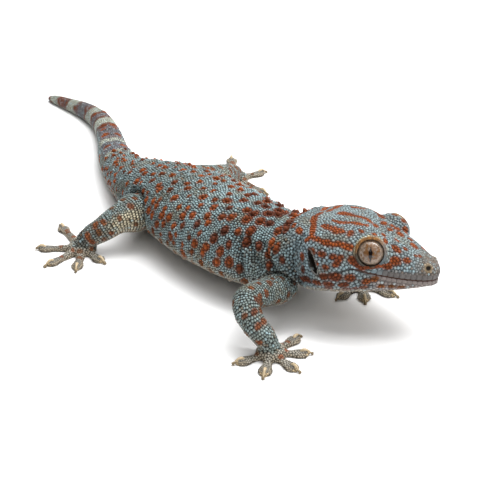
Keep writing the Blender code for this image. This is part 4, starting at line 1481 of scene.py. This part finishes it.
def scale_heights(skin, reach, kind):
    """The height of each scale and how far its top leans back, both in millimetres."""
    tail = 0.14 + 0.2 * step_up(45.0, 90.0, skin.run)
    head = 0.28 - 0.16 * step_up(30.0, 38.0, skin.forward)
    height = np.select(skin.sorts(), [tail, head, 0.3, 0.14], 0.4)
    above = step_up(-0.1, 0.8, skin.upward)
    cone = 0.22 + (0.12 + 0.12 * nape_share(skin.run)) * above
    kinds = [kind == "bead", kind == "cone", kind == "plate", kind == "rim"]
    height = np.select(kinds, [0.24 + 0.16 * above, cone, 0.045, 0.2], height) * reach
    height = np.where((kind == "grain") & (skin.upward < -0.4), height * 0.55, height)
    lean = np.select(skin.sorts(), [0.26, 0.0, 0.3, 0.2], 0.14)
    return height, np.where((kind == "plate") | (kind == "cone"), 0.0, lean) * reach


def in_shade(colour, light, seam):
    """A colour at part of its brightness, the rest made up by the dark brown of painted shade."""
    return colour * light + seam * np.maximum(1.0 - light, 0.0)


def scale_points(kind, own, rays, spread):
    """The corners of some scales of one kind, ring by ring to the top, and their brightness:
    painted shade at the edges and a painted highlight on the top.
    """
    profile, top_light = PROFILES[kind]
    place, normal, along = (own[key][:, None] for key in ("place", "normal", "along"))
    height = own["height"][:, None, None]
    lean = along * own["lean"][:, None, None]
    flat, slope = (own[key][:, None, None] * (kind == "grain") for key in ("flat", "slope"))
    back = np.cos(math.tau * np.arange(SIDES[kind]) / SIDES[kind])[None, :, None]
    rings, lights = [], []
    for share, rise, light in profile:
        top = 1.0 if rise > 0 else 0.0
        up = rise + top * slope * back * 0.8
        ring = place + rays * spread * (share + top * flat * 0.11) + normal * height * up
        rings.append(ring + lean * rise * top)
        # Painted highlight: flatter scales get brighter tops, and each top is brighter on one side
        # and darker on the other by its slope.
        lights.append(light * (1.0 + top * (0.18 * flat + slope * back)))
    rings.append(place + normal * height + lean)
    lights.append(top_light + 0.0 * flat)
    lights = [np.broadcast_to(light, ring.shape[:2] + (1,)) for ring, light in zip(rings, lights)]
    return np.concatenate(rings, 1), np.concatenate(lights, 1)


def scale_colours(chart, kind, own, points, light):
    """The colours of the scales' corners: plain or spotted, with painted shade towards their edges
    and a painted highlight on their tops.
    """
    edge = 0.2
    spotted = chart.spot_share(points, own["near"], edge)[0]
    if own["on_head"].any():
        striped = chart.stripe_share(points.reshape(-1, 3), edge).reshape(spotted.shape)
        spotted = np.maximum(spotted, striped)
    if kind == "cone":
        spotted = np.maximum(spotted, own["share"][:, None])
    colour = blend(own["plain"][:, None], own["spotted"][:, None], spotted)
    spotted = spotted[..., None]
    gap, dull = own["gap"][:, None, None], own["dull"][:, None, None]
    # Dull scales and spots have their painted shade and highlight evened out towards one
    # brightness.
    dull = np.maximum(0.35 * spotted, dull) * (light > 0.5)
    light = np.maximum(light + (1.15 - light) * dull, np.maximum(gap, 0.55 * spotted))
    seam = np.array(bpy.context.scene.gecko_colours.seam)
    return in_shade(colour, light, seam * (1.0 - 0.8 * spotted))


def scale_map(own, spread, points):
    """The scales' corners on their piece's map, each scale laid flat round its own root."""
    across = np.cross(own["normal"], own["along"])[:, None]
    arm = points - own["place"][:, None]
    local = np.stack([dot(arm, own["along"][:, None]), dot(arm, across)], 2)
    local = local * (MAP_REACH / np.maximum(spread.max(1, keepdims=True), 1e-6))
    return own["map"][:, None] + np.clip(local, -MAP_REACH, MAP_REACH)


def scale_faces(kind):
    """One scale's faces: its sunk bottom, the bands between its rings and the fan of its top."""
    sides, rings = SIDES[kind], len(PROFILES[kind][0])
    faces = [list(range(sides))[::-1]]
    for ring in range(rings - 1):
        here, there = ring * sides, (ring + 1) * sides
        for k in range(sides):
            after = (k + 1) % sides
            faces.append([here + k, here + after, there + after, there + k])
    last = (rings - 1) * sides
    faces += [[last + k, last + (k + 1) % sides, rings * sides] for k in range(sides)]
    corners = np.array([corner for face in faces for corner in face])
    return corners, np.cumsum([0] + [len(face) for face in faces])[:-1]


def add_scales(chart, name, material, kit, shapes, chosen):
    """One mesh of scales of several kinds, with its colours and its map."""
    vertices, colours, charts, loops, starts = [], [], [], [], []
    base = 0
    loop_base = 0
    for kind in PROFILES:
        members = chosen[kit["kind"][chosen] == kind]
        if len(members) == 0:
            continue
        own = {key: values[members] for key, values in kit.items()}
        rays, spread = (shape[own["row"]] for shape in shapes[kind])
        points, light = scale_points(kind, own, rays, spread)
        vertices.append(points.reshape(-1, 3))
        colours.append(scale_colours(chart, kind, own, points, light).reshape(-1, 3))
        charts.append(scale_map(own, spread, points).reshape(-1, 2))
        corners, begin = scale_faces(kind)
        count, per_scale = points.shape[:2]
        number = np.arange(count)[:, None]
        loops.append((corners[None] + base + number * per_scale).ravel())
        starts.append((begin[None] + loop_base + number * len(corners)).ravel())
        base += per_scale * count
        loop_base += len(corners) * count
    vertices = move_out(np.concatenate(vertices), chart.shift)
    vertices[:, 2] = np.maximum(vertices[:, 2], FLOOR_GAP)
    loops, starts = np.concatenate(loops), np.concatenate(starts)
    charts, colours = np.concatenate(charts), np.concatenate(colours)
    mesh = bpy.data.meshes.new(name)
    mesh.vertices.add(len(vertices))
    mesh.vertices.foreach_set("co", vertices.ravel())
    mesh.loops.add(len(loops))
    mesh.loops.foreach_set("vertex_index", loops.astype(np.int32))
    mesh.polygons.add(len(starts))
    mesh.polygons.foreach_set("loop_start", starts.astype(np.int32))
    mesh.polygons.foreach_set("use_smooth", np.ones(len(starts), bool))
    mesh.update(calc_edges=True)
    layer = mesh.uv_layers.new(name="OFBake")
    layer.data.foreach_set("uv", charts[loops].astype(np.float32).ravel())
    set_colours(mesh, colours)
    finish_piece(new_object(name, mesh), material)


# ---- operators


class GECKO_OT_skin(bpy.types.Operator):
    """Draw one seamless skin over the body's solids and colour it"""

    bl_idname = "gecko.skin"
    bl_label = "Skin"
    bl_options = {"REGISTER", "UNDO"}

    def execute(self, context):
        sizes = context.scene.gecko_sizes
        only(*[bpy.data.objects[name] for name in FLESH])
        bpy.ops.object.duplicate(linked=False)
        bpy.ops.object.join()
        skin = context.view_layer.objects.active
        skin.name = "skin"
        skin.data.name = "skin"
        bpy.ops.object.mode_set(mode="EDIT")
        bpy.ops.mesh.select_all(action="SELECT")
        bpy.ops.mesh.remove_doubles(threshold=0.000005)
        bpy.ops.object.mode_set(mode="OBJECT")
        spare = 0.2 * MM
        fatten(skin, spare)
        apply_modifier(skin, "REMESH", mode="VOXEL", voxel_size=sizes.voxel, use_smooth_shade=True)
        self.soften(skin)
        fatten(skin, -spare - sizes.coat)
        self.carve(skin)
        self.raise_spots(skin)
        chart = Chart()
        surface = Surface(chart.vertices, chart.normals, chart.part, chart.run, chart.angle)
        colours = skin_colours(chart, surface)
        # Painted shade between the scales: the skin keeps only part of its colour there.
        gap = gap_light(surface)
        gap = np.where(chart.mark_share(chart.vertices)[0] > 0.5, np.maximum(gap, 0.55), gap)
        gap = np.where(self.smooth_rims(surface), 0.9, gap)
        colours = in_shade(colours, gap[:, None], np.array(context.scene.gecko_colours.seam))
        set_colours(skin.data, colours)
        skin.data.shade_smooth()
        finish_piece(skin, skin_material("skin_between_scales", 0.6))
        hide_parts(*FLESH)
        return {"FINISHED"}

    def raise_spots(self, skin):
        """Lifts the skin in a low mound under each spot of the trunk and legs."""
        chart = Chart()
        share, which = chart.mark_share(chart.vertices, 0.8)
        kinds = chart.mark_kind[which]
        lift = np.select([kinds == "trunk", kinds == "limb"], [0.45, 0.15], 0.0)
        lift = lift * step_up(0.0, 1.0, share) * step_up(-0.45, 0.1, np.sin(chart.angle))
        points = chart.vertices + chart.normals * lift[:, None]
        write_points(skin.data, move_out(points, chart.shift))

    def smooth_rims(self, surface):
        """True on the bare rims of the eyes and nostrils."""
        ring = np.zeros(len(surface.points), bool)
        for side in (-1, 1):
            arm, around = round_eye(surface.points, side)
            ring |= (around < 5.5) & (around > 4.2) & (arm[:, 0] > 1.0)
            ring |= np.linalg.norm(surface.local - on_side(NOSTRIL_PLACE, side), axis=1) < 1.6
        return ring

    def carve(self, skin):
        """Presses in the mouth and the skin's folds, and fills out the toes."""
        shift = stance()
        points = read_points(skin.data, "co") / MM - shift
        normals = read_points(skin.data, "normal")
        depth = 0.15 * step_up(0.8, 0.1, mouth_gap(in_head(points)))
        axes = all_axes()
        body, *legs = axes[:FIRST_TOE]
        station, angle, ratio = body.locate(points)
        depth = np.maximum(depth, 1.1 * fold_depth(body, body.run[station], angle) * (ratio < 1.4))
        nearest = ratio
        for axis in legs:
            leg = axis.locate(points)[2]
            near = (leg < 1.9) & (ratio < 1.9)
            depth = np.maximum(depth, 1.7 * near * np.exp(-(((ratio - leg) / 0.12) ** 2)))
            nearest = np.minimum(nearest, leg)
        toes = np.minimum.reduce([axis.locate(points)[2] for axis in axes[FIRST_TOE:]])
        depth = np.where((toes < nearest) & (points[:, 2] < 5.0), -0.32, depth)
        points = move_out(points - normals * depth[:, None], shift)
        points[:, 2] = np.maximum(points[:, 2], FLOOR_GAP)
        write_points(skin.data, points)

    def soften(self, skin):
        """Melts the solids' facets and cones into trunk and tail, but spares the head and toes."""
        points = read_points(skin.data, "co") / MM - stance()
        body, *legs = all_axes()[:FIRST_TOE]
        station, _, ratio = body.locate(points)
        weight = 1.0 - step_up(HEAD_START - 10.0, HEAD_START + 2.0, body.run[station])
        for axis in legs:
            weight = np.where(axis.locate(points)[2] < ratio, 0.25, weight)
        weight = np.where(points[:, 2] < 3.2, weight * 0.3, weight)
        weight = np.maximum(weight, step_up(1.8, 0.9, mouth_gap(in_head(points))))
        group = skin.vertex_groups.new(name="soft")
        levels = np.round(weight * 10).astype(int)
        for level in range(1, 11):
            group.add(np.flatnonzero(levels == level).tolist(), level / 10, "REPLACE")
        apply_modifier(skin, "SMOOTH", factor=0.5, iterations=4)
        apply_modifier(skin, "SMOOTH", factor=0.5, iterations=50, vertex_group="soft")
        skin.vertex_groups.clear()


class GECKO_OT_scales(bpy.types.Operator):
    """Cover the skin with scales, tubercles, lip plates and the rings round the eyes"""

    bl_idname = "gecko.scales"
    bl_label = "Scales"
    bl_options = {"REGISTER", "UNDO"}

    def execute(self, context):
        chart = Chart()
        kit, shapes = self.measure(chart, *gather_roots(chart))
        sorts = ("head", "trunk", "tail", "limb", "foot")
        coats = {sort: skin_material(sort + "_scales") for sort in sorts}
        for name, (sort, chosen) in self.split(kit).items():
            add_scales(chart, name, coats[sort], kit, shapes, chosen)
        # The scales hide most of the skin, so its mesh is thinned once they're rooted.
        apply_modifier(bpy.data.objects["skin"], "DECIMATE", ratio=context.scene.gecko_sizes.kept)
        return {"FINISHED"}

    def measure(self, chart, place, face, reach, kind, lie):
        """All that is known of each scale, row by row, and the shapes of each kind's outlines."""
        normal = chart.normal_at(face)
        skin = Surface(place, normal, *chart.parts_of(place))
        along = self.directions(chart, skin, normal, kind == "plate", lie)
        height, lean = scale_heights(skin, reach, kind)
        plain, spotted = self.colours(chart, skin, kind)
        shapes, rows = self.spreads(place, normal, along, reach, kind)
        kit = {
            "place": place,
            "normal": normal,
            "along": along,
            "height": height,
            "lean": lean,
            "plain": plain,
            "spotted": spotted,
            "share": chart.mark_share(place)[0],
            "near": chart.near_marks(place),
            "on_head": (skin.part == 0) & (skin.run > HEAD_START - 12.0),
            # gap: how bright the scales' edges stay under the painted shade; dull: how far their
            # painted shade and highlight are evened out.
            "gap": gap_light(skin),
            "dull": np.select(skin.sorts(), [0.0, 0.5, 0.0, 0.3], 0.0),
            "flat": np.select(skin.sorts(), [0.7, 1.15, 1.0, 0.8], 0.45),
            "slope": np.select(skin.sorts(), [0.22, 0.1, 0.35, 0.15], 0.22),
            "kind": kind,
            "part": skin.part,
            "run": skin.run,
            "angle": skin.angle,
            "map": self.unwrap(chart, skin),
            "row": rows,
        }
        return kit, shapes

    def directions(self, chart, skin, normal, plate, lie):
        """The way that each scale points: down the body, out along the limbs or along the lips."""
        ahead = np.zeros_like(normal)
        for number, axis in enumerate(chart.axes):
            mine = skin.part == number
            station = np.minimum((skin.run[mine] / axis.step).astype(int), len(axis.run) - 1)
            ahead[mine] = axis.ahead[station] * (-1.0 if number == 0 else 1.0)
        ahead = np.where(plate[:, None], lie, ahead)
        return unit(ahead - dot(ahead, normal)[:, None] * normal)

    def colours(self, chart, skin, kind):
        """Each scale's plain and spotted colour, no two of them quite alike."""
        chance = np.random.default_rng(SEED + 4)
        count = len(kind)
        palette = bpy.context.scene.gecko_colours
        smooth = (kind == "rim") | (kind == "plate") | (skin.part >= FIRST_TOE)
        uneven = 1.0 + np.where(smooth, 0.05, 0.17) * chance.normal(0.0, 1.0, count)
        uneven = np.clip(uneven, 0.55, 1.45)[:, None]
        paler = np.where(smooth, 0.0, np.clip(chance.normal(-0.05, 0.25, count), 0.0, 0.6))
        paler = np.where(kind == "bead", 0.3, paler)
        browner = np.where(smooth, 0.0, np.clip(chance.normal(-0.3, 0.4, count), 0.0, 0.6))
        plain = blend(skin_colours(chart, skin, 0.0), np.array(palette.brown_scale), browner)
        plain = blend(plain * uneven, np.array(palette.pale_scale), paler)
        return plain, skin_colours(chart, skin, 1.0) * uneven

    def spreads(self, place, normal, along, reach, kind):
        """The outlines of each kind's scales: rays, how far they spread and each scale's row."""
        shapes, rows = {}, np.zeros(len(place), int)
        for name, sides in SIDES.items():
            rays, spread = outlines(place, normal, along, reach, sides)
            if name == "plate":
                turns = math.tau * np.arange(sides) / sides
                wide = np.abs(np.cos(turns))[None] / (0.5 * reach[:, None])
                tall = np.abs(np.sin(turns))[None] / np.where(reach > 1.8, 0.93, 0.6)[:, None]
                spread = (wide**8 + tall**8) ** -0.125
            if name in ("cone", "bead"):
                spread = np.minimum(spread, 1.15 * spread.min(1, keepdims=True))
            mine = np.flatnonzero(kind == name)
            rows[mine] = np.arange(len(mine))
            shapes[name] = rays[mine], spread[mine][..., None]
        return shapes, rows

    def unwrap(self, chart, skin):
        """Each root on its piece's map: its run along and its angle round its own axis.

        A foot's scales lie as seen from above, those under it beside the others.
        """
        edge = 0.02
        across = (skin.angle / math.tau + 0.5) * (1.0 - 2 * edge) + edge
        longest = np.array([axis.run[-1] for axis in chart.axes])[skin.part]
        along = np.clip(skin.run / longest, 0, 1) * (1.0 - 2 * edge) + edge
        for number, axis in enumerate(chart.axes[FIRST_TOE:], FIRST_TOE):
            mine = skin.part == number
            palm = np.array(LIMBS[axis.name.removeprefix("toes_")][-1][:2])
            flat = np.clip((skin.points[mine, :2] - palm) / 50.0 + 0.5, edge, 1.0 - edge)
            along[mine] = flat[:, 0] * 0.5 + np.where(skin.upward[mine] < 0, 0.5, 0.0)
            across[mine] = flat[:, 1]
        return np.stack([along, across], 1)

    def split(self, kit):
        """The pieces that the scales come in: for each its sort of skin and its members."""
        part, run = kit["part"], kit["run"]
        right = np.abs(kit["angle"]) > math.pi / 2
        body = part == 0
        groups = {}
        groups["scales_head_right"] = ("head", body & (run >= HEAD_START) & right)
        groups["scales_head_left"] = ("head", body & (run >= HEAD_START) & ~right)
        for name, low, high in TRUNK_PIECES:
            within = body & (run >= low) & (run < high)
            groups["scales_trunk_" + name + "_right"] = ("trunk", within & right)
            groups["scales_trunk_" + name + "_left"] = ("trunk", within & ~right)
        groups["scales_tail"] = ("tail", body & (run < TRUNK_START))
        for number, (name, toes) in enumerate(TOES.items()):
            first = FIRST_TOE + number * len(toes)
            groups["scales_leg_" + name] = ("limb", part == number + 1)
            groups["scales_foot_" + name] = ("foot", (part >= first) & (part < first + len(toes)))
        return {name: (sort, np.flatnonzero(mask)) for name, (sort, mask) in groups.items()}


class GECKO_OT_eyes(bpy.types.Operator):
    """Set the two eyeballs with their slit pupils"""

    bl_idname = "gecko.eyes"
    bl_label = "Eyes"
    bl_options = {"REGISTER", "UNDO"}

    def execute(self, context):
        radius = context.scene.gecko_sizes.eye_radius
        shift = stance()
        for side, name in ((-1, "right"), (1, "left")):
            centre, rotation = eye_frame(side)
            middle = Vector(move_out(np.array(centre), shift))
            bpy.ops.object.select_all(action="DESELECT")
            bpy.ops.mesh.primitive_uv_sphere_add(
                segments=64, ring_count=40, radius=radius, location=(0.0, 0.0, 0.0)
            )
            ball = context.view_layer.objects.active
            ball.name = "eyeball_" + name
            ball.data.name = ball.name
            turn = rotation.to_4x4() @ Matrix.Rotation(math.pi / 2, 4, "Y")
            ball.data.transform(Matrix.Translation(middle) @ turn)
            ball.data.shade_smooth()
            finish_piece(ball, self.eye_material("eye_" + name, middle, rotation, radius))
            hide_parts("eye_" + name)
        return {"FINISHED"}

    def eye_material(self, name, middle, rotation, radius):
        """A veined iris, brown round a slit pupil, under a clear wet coat."""
        palette = bpy.context.scene.gecko_colours
        material, tree = new_material(name)
        own = add_node(
            tree,
            "Mapping",
            {"vector_type": "TEXTURE"},
            Vector=add_node(tree, "TexCoord").outputs["Object"],
            Location=middle,
            Rotation=rotation.to_euler(),
            Scale=(radius, radius, radius),
        ).outputs["Vector"]
        ball = add_node(tree, "SeparateXYZ", Vector=own)
        side, rise = ball.outputs["Y"], ball.outputs["Z"]
        squares = [add_maths(tree, "POWER", way, 2.0) for way in (side, rise)]
        away = add_maths(tree, "SQRT", add_maths(tree, "ADD", *squares))
        iris = self.iris(tree, own, away, Vector(palette.iris))
        brown = self.brown_patches(tree, own, away, rise)
        iris = add_mix(tree, brown, iris, (*palette.iris_brown, 1.0))
        lean = 0.1 if name.endswith("right") else -0.1
        slit = self.slit(tree, side, rise, lean)
        finish_surface(
            tree,
            Base_Color=add_mix(tree, slit, iris, (*palette.pupil, 1.0)),
            Roughness=0.5,
            Specular_IOR_Level=0.05,
            Coat_Weight=1.0,
            Coat_IOR=1.46,
            Coat_Roughness=0.04,
        )
        return material

    def iris(self, tree, own, away, colour):
        """The iris without its brown: dark by the pupil, bright further out, veined all over."""
        stops = ((0.0, 0.7), (0.3, 0.95), (0.55, 1.3), (0.8, 1.5), (0.93, 1.3), (0.985, 0.6))
        ramp = add_ramp(tree, away, [(place, colour * light) for place, light in stops])
        veins = add_node(tree, "TexNoise", Vector=own, Scale=5.5, Detail=6.0)
        fill(tree, veins, {"Roughness": 0.65, "Distortion": 1.6})
        return add_mottle(tree, ramp, veins.outputs["Fac"], (0.38, 0.62), (0.5, 1.35))

    def brown_patches(self, tree, own, away, rise):
        """How brown the iris is: most of all near the pupil and above it, with ragged edges."""
        patch = add_node(tree, "TexNoise", Vector=own, Scale=4.2).outputs["Fac"]
        patch = add_maths(tree, "MULTIPLY", patch, 2.2)
        patch = add_maths(tree, "ADD", patch, add_maths(tree, "MULTIPLY", rise, 0.25))
        near = add_maths(tree, "SUBTRACT", patch, away)
        reach = add_node(tree, "MapRange", Value=near, From_Min=0.5, From_Max=0.85, To_Max=0.85)
        return reach.outputs["Result"]

    def slit(self, tree, side, rise, lean):
        """1 within the pupil: a wavy slit, widest in its middle, pointed at both ends."""
        upper, lower = 0.5, -0.72
        above = add_maths(tree, "DIVIDE", rise, upper)
        height = add_maths(tree, "MAXIMUM", above, add_maths(tree, "DIVIDE", rise, lower))
        tall = add_maths(tree, "SUBTRACT", 1.0, add_maths(tree, "POWER", height, 3.0))
        belly = add_maths(tree, "MULTIPLY", add_maths(tree, "POWER", tall, 6.0), 0.09)
        wide = add_maths(tree, "ADD", 0.04, belly)
        wave = add_maths(tree, "SINE", add_maths(tree, "MULTIPLY", rise, 21.0))
        wide = add_maths(tree, "ADD", wide, add_maths(tree, "MULTIPLY", wave, 0.014))
        upright = add_maths(tree, "ADD", side, add_maths(tree, "MULTIPLY", rise, lean))
        half = add_maths(tree, "MULTIPLY", tall, wide)
        edge = add_maths(tree, "SUBTRACT", half, add_maths(tree, "ABSOLUTE", upright))
        soft = 0.015
        share = add_node(tree, "MapRange", Value=edge, From_Min=-soft, From_Max=soft)
        return share.outputs["Result"]


class GECKO_OT_claws(bpy.types.Operator):
    """Model one hooked claw and set a copy at the tip of each toe"""

    bl_idname = "gecko.claws"
    bl_label = "Claws"
    bl_options = {"REGISTER", "UNDO"}

    def execute(self, context):
        shift = stance()
        master = self.model_claw(context)
        material = self.horn(context)
        for name, toes in TOES.items():
            copies = []
            for length, heading in toes:
                copy = new_object("claw_" + name, master.data.copy())
                turn = Matrix.Rotation(math.radians(heading), 4, "Z")
                root = (*along_toe(name, heading, length - CLAW_LENGTH), 0.0)
                place = Vector(move_out(root, shift))
                copy.data.transform(Matrix.Translation(place) @ turn)
                copies.append(copy)
            only(*copies)
            bpy.ops.object.join()
            claws = context.view_layer.objects.active
            claws.name = "claws_" + name
            claws.data.name = claws.name
            finish_piece(claws, material)
        bpy.data.objects.remove(master)
        return {"FINISHED"}

    def model_claw(self, context):
        """A tapering horn from a ring that is drawn out step by step along a low arch."""
        bpy.ops.object.select_all(action="DESELECT")
        start = self.arch(0.0)
        bpy.ops.mesh.primitive_circle_add(
            vertices=10,
            radius=context.scene.gecko_sizes.claw_radius,
            fill_type="NGON",
            location=start,
            rotation=(0.0, math.pi / 2, 0.0),
        )
        claw = context.view_layer.objects.active
        bpy.ops.object.transform_apply(location=True, rotation=True, scale=True)
        bpy.ops.object.mode_set(mode="EDIT")
        bpy.ops.mesh.select_all(action="SELECT")
        steps = (0.2, 0.4, 0.55, 0.7, 0.82, 0.92, 1.0)
        last, width = start, 1.0
        for share in steps:
            here = self.arch(share)
            bpy.ops.mesh.extrude_region_move(TRANSFORM_OT_translate={"value": here - last})
            target = 1.0 - 0.82 * share**1.6
            bpy.ops.transform.resize(value=(target / width,) * 3, center_override=here)
            last, width = here, target
        bpy.ops.mesh.select_all(action="SELECT")
        bpy.ops.mesh.normals_make_consistent(inside=False)
        bpy.ops.object.mode_set(mode="OBJECT")
        claw.data.shade_smooth()
        return claw

    def arch(self, share):
        """The middle of the claw, low at its root, arched, and down again at its point."""
        root, arch, point = 1.09, 1.0, 0.16
        rise = root * (1.0 - share**2) + arch * math.sin(math.pi * share**0.8) + point
        return Vector((CLAW_LENGTH * share, 0.0, rise)) * MM

    def horn(self, context):
        """Pale horn with darker clouds in it."""
        material, tree = new_material("claw_horn")
        claw = Vector(context.scene.gecko_colours.claw)
        where = add_node(tree, "TexCoord").outputs["Object"]
        grain = add_node(tree, "TexNoise", Vector=where, Scale=900.0).outputs["Fac"]
        ramp = add_ramp(tree, grain, ((0.35, claw * 0.75), (0.65, claw)))
        finish_surface(tree, Base_Color=ramp, Roughness=0.3)
        return material


class GECKO_OT_stage(bpy.types.Operator):
    """Lay the white floor, light it softly and set the camera"""

    bl_idname = "gecko.stage"
    bl_label = "Stage"
    bl_options = {"REGISTER", "UNDO"}

    def execute(self, context):
        settings = context.scene.gecko_stage
        bpy.ops.object.select_all(action="DESELECT")
        bpy.ops.mesh.primitive_plane_add(size=settings.floor_size, location=(0.0, 0.0, 0.0))
        floor = context.view_layer.objects.active
        floor.name = "floor"
        material, tree = new_material("floor_paper")
        finish_surface(tree, Base_Color=FLOOR_WHITE, Roughness=0.9, Specular_IOR_Level=0.1)
        floor.data.materials.append(material)
        self.light(context, settings)
        self.camera(context, settings)
        context.scene.view_settings.view_transform = "Standard"
        return {"FINISHED"}

    def light(self, context, settings):
        world = bpy.data.worlds.new("white_surroundings")
        world.use_nodes = True
        sky = world.node_tree.nodes["Background"]
        sky.inputs["Color"].default_value = (1.0, 1.0, 1.0, 1.0)
        sky.inputs["Strength"].default_value = settings.sky
        context.scene.world = world
        for name, (place, length, width, share) in LIGHTS.items():
            bpy.ops.object.light_add(type="AREA", location=place)
            lamp = context.view_layer.objects.active
            lamp.name = name
            lamp.data.shape = "RECTANGLE"
            lamp.data.size = length
            lamp.data.size_y = width
            lamp.data.energy = settings.power * share
            back = (place - LIGHT_AIM).normalized()
            along = (LIGHT_WAY - back * LIGHT_WAY.dot(back)).normalized()
            lamp.rotation_euler = Matrix((along, back.cross(along), back)).transposed().to_euler()

    def camera(self, context, settings):
        bpy.ops.object.camera_add(location=Vector(move_out(CAMERA_PLACE, stance())))
        camera = context.view_layer.objects.active
        camera.name = "camera"
        upward = CAMERA_RIGHT.cross(CAMERA_AHEAD)
        turn = Matrix((CAMERA_RIGHT, upward, -CAMERA_AHEAD)).transposed()
        camera.rotation_euler = turn.to_euler()
        camera.data.lens = settings.lens
        camera.data.sensor_width = 36.0
        camera.data.clip_start = 0.01
        context.scene.camera = camera


class GECKO_PT_panel(bpy.types.Panel):
    """Lists the pieces of the gecko in the order in which they are built"""

    bl_label = "Tokay gecko"
    bl_idname = "GECKO_PT_panel"
    bl_space_type = "VIEW_3D"
    bl_region_type = "UI"
    bl_category = "Gecko"

    def draw(self, context):
        for operator in PIECES:
            self.layout.operator(operator.bl_idname)
        scene = context.scene
        for settings in (scene.gecko_sizes, scene.gecko_colours, scene.gecko_stage):
            for key in settings.__annotations__:
                self.layout.prop(settings, key)


PIECES = (GECKO_OT_skin, GECKO_OT_scales, GECKO_OT_eyes, GECKO_OT_claws, GECKO_OT_stage)
CLASSES = (GeckoSizes, GeckoColours, GeckoStage) + PIECES + (GECKO_PT_panel,)


def register():
    for item in CLASSES:
        bpy.utils.register_class(item)
    bpy.types.Scene.gecko_sizes = bpy.props.PointerProperty(type=GeckoSizes)
    bpy.types.Scene.gecko_colours = bpy.props.PointerProperty(type=GeckoColours)
    bpy.types.Scene.gecko_stage = bpy.props.PointerProperty(type=GeckoStage)


def unregister():
    del bpy.types.Scene.gecko_stage
    del bpy.types.Scene.gecko_colours
    del bpy.types.Scene.gecko_sizes
    for item in reversed(CLASSES):
        bpy.utils.unregister_class(item)


def main():
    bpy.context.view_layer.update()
    register()
    bpy.ops.gecko.skin()
    bpy.ops.gecko.scales()
    bpy.ops.gecko.eyes()
    bpy.ops.gecko.claws()
    bpy.ops.gecko.stage()


if __name__ == "__main__":
    main()
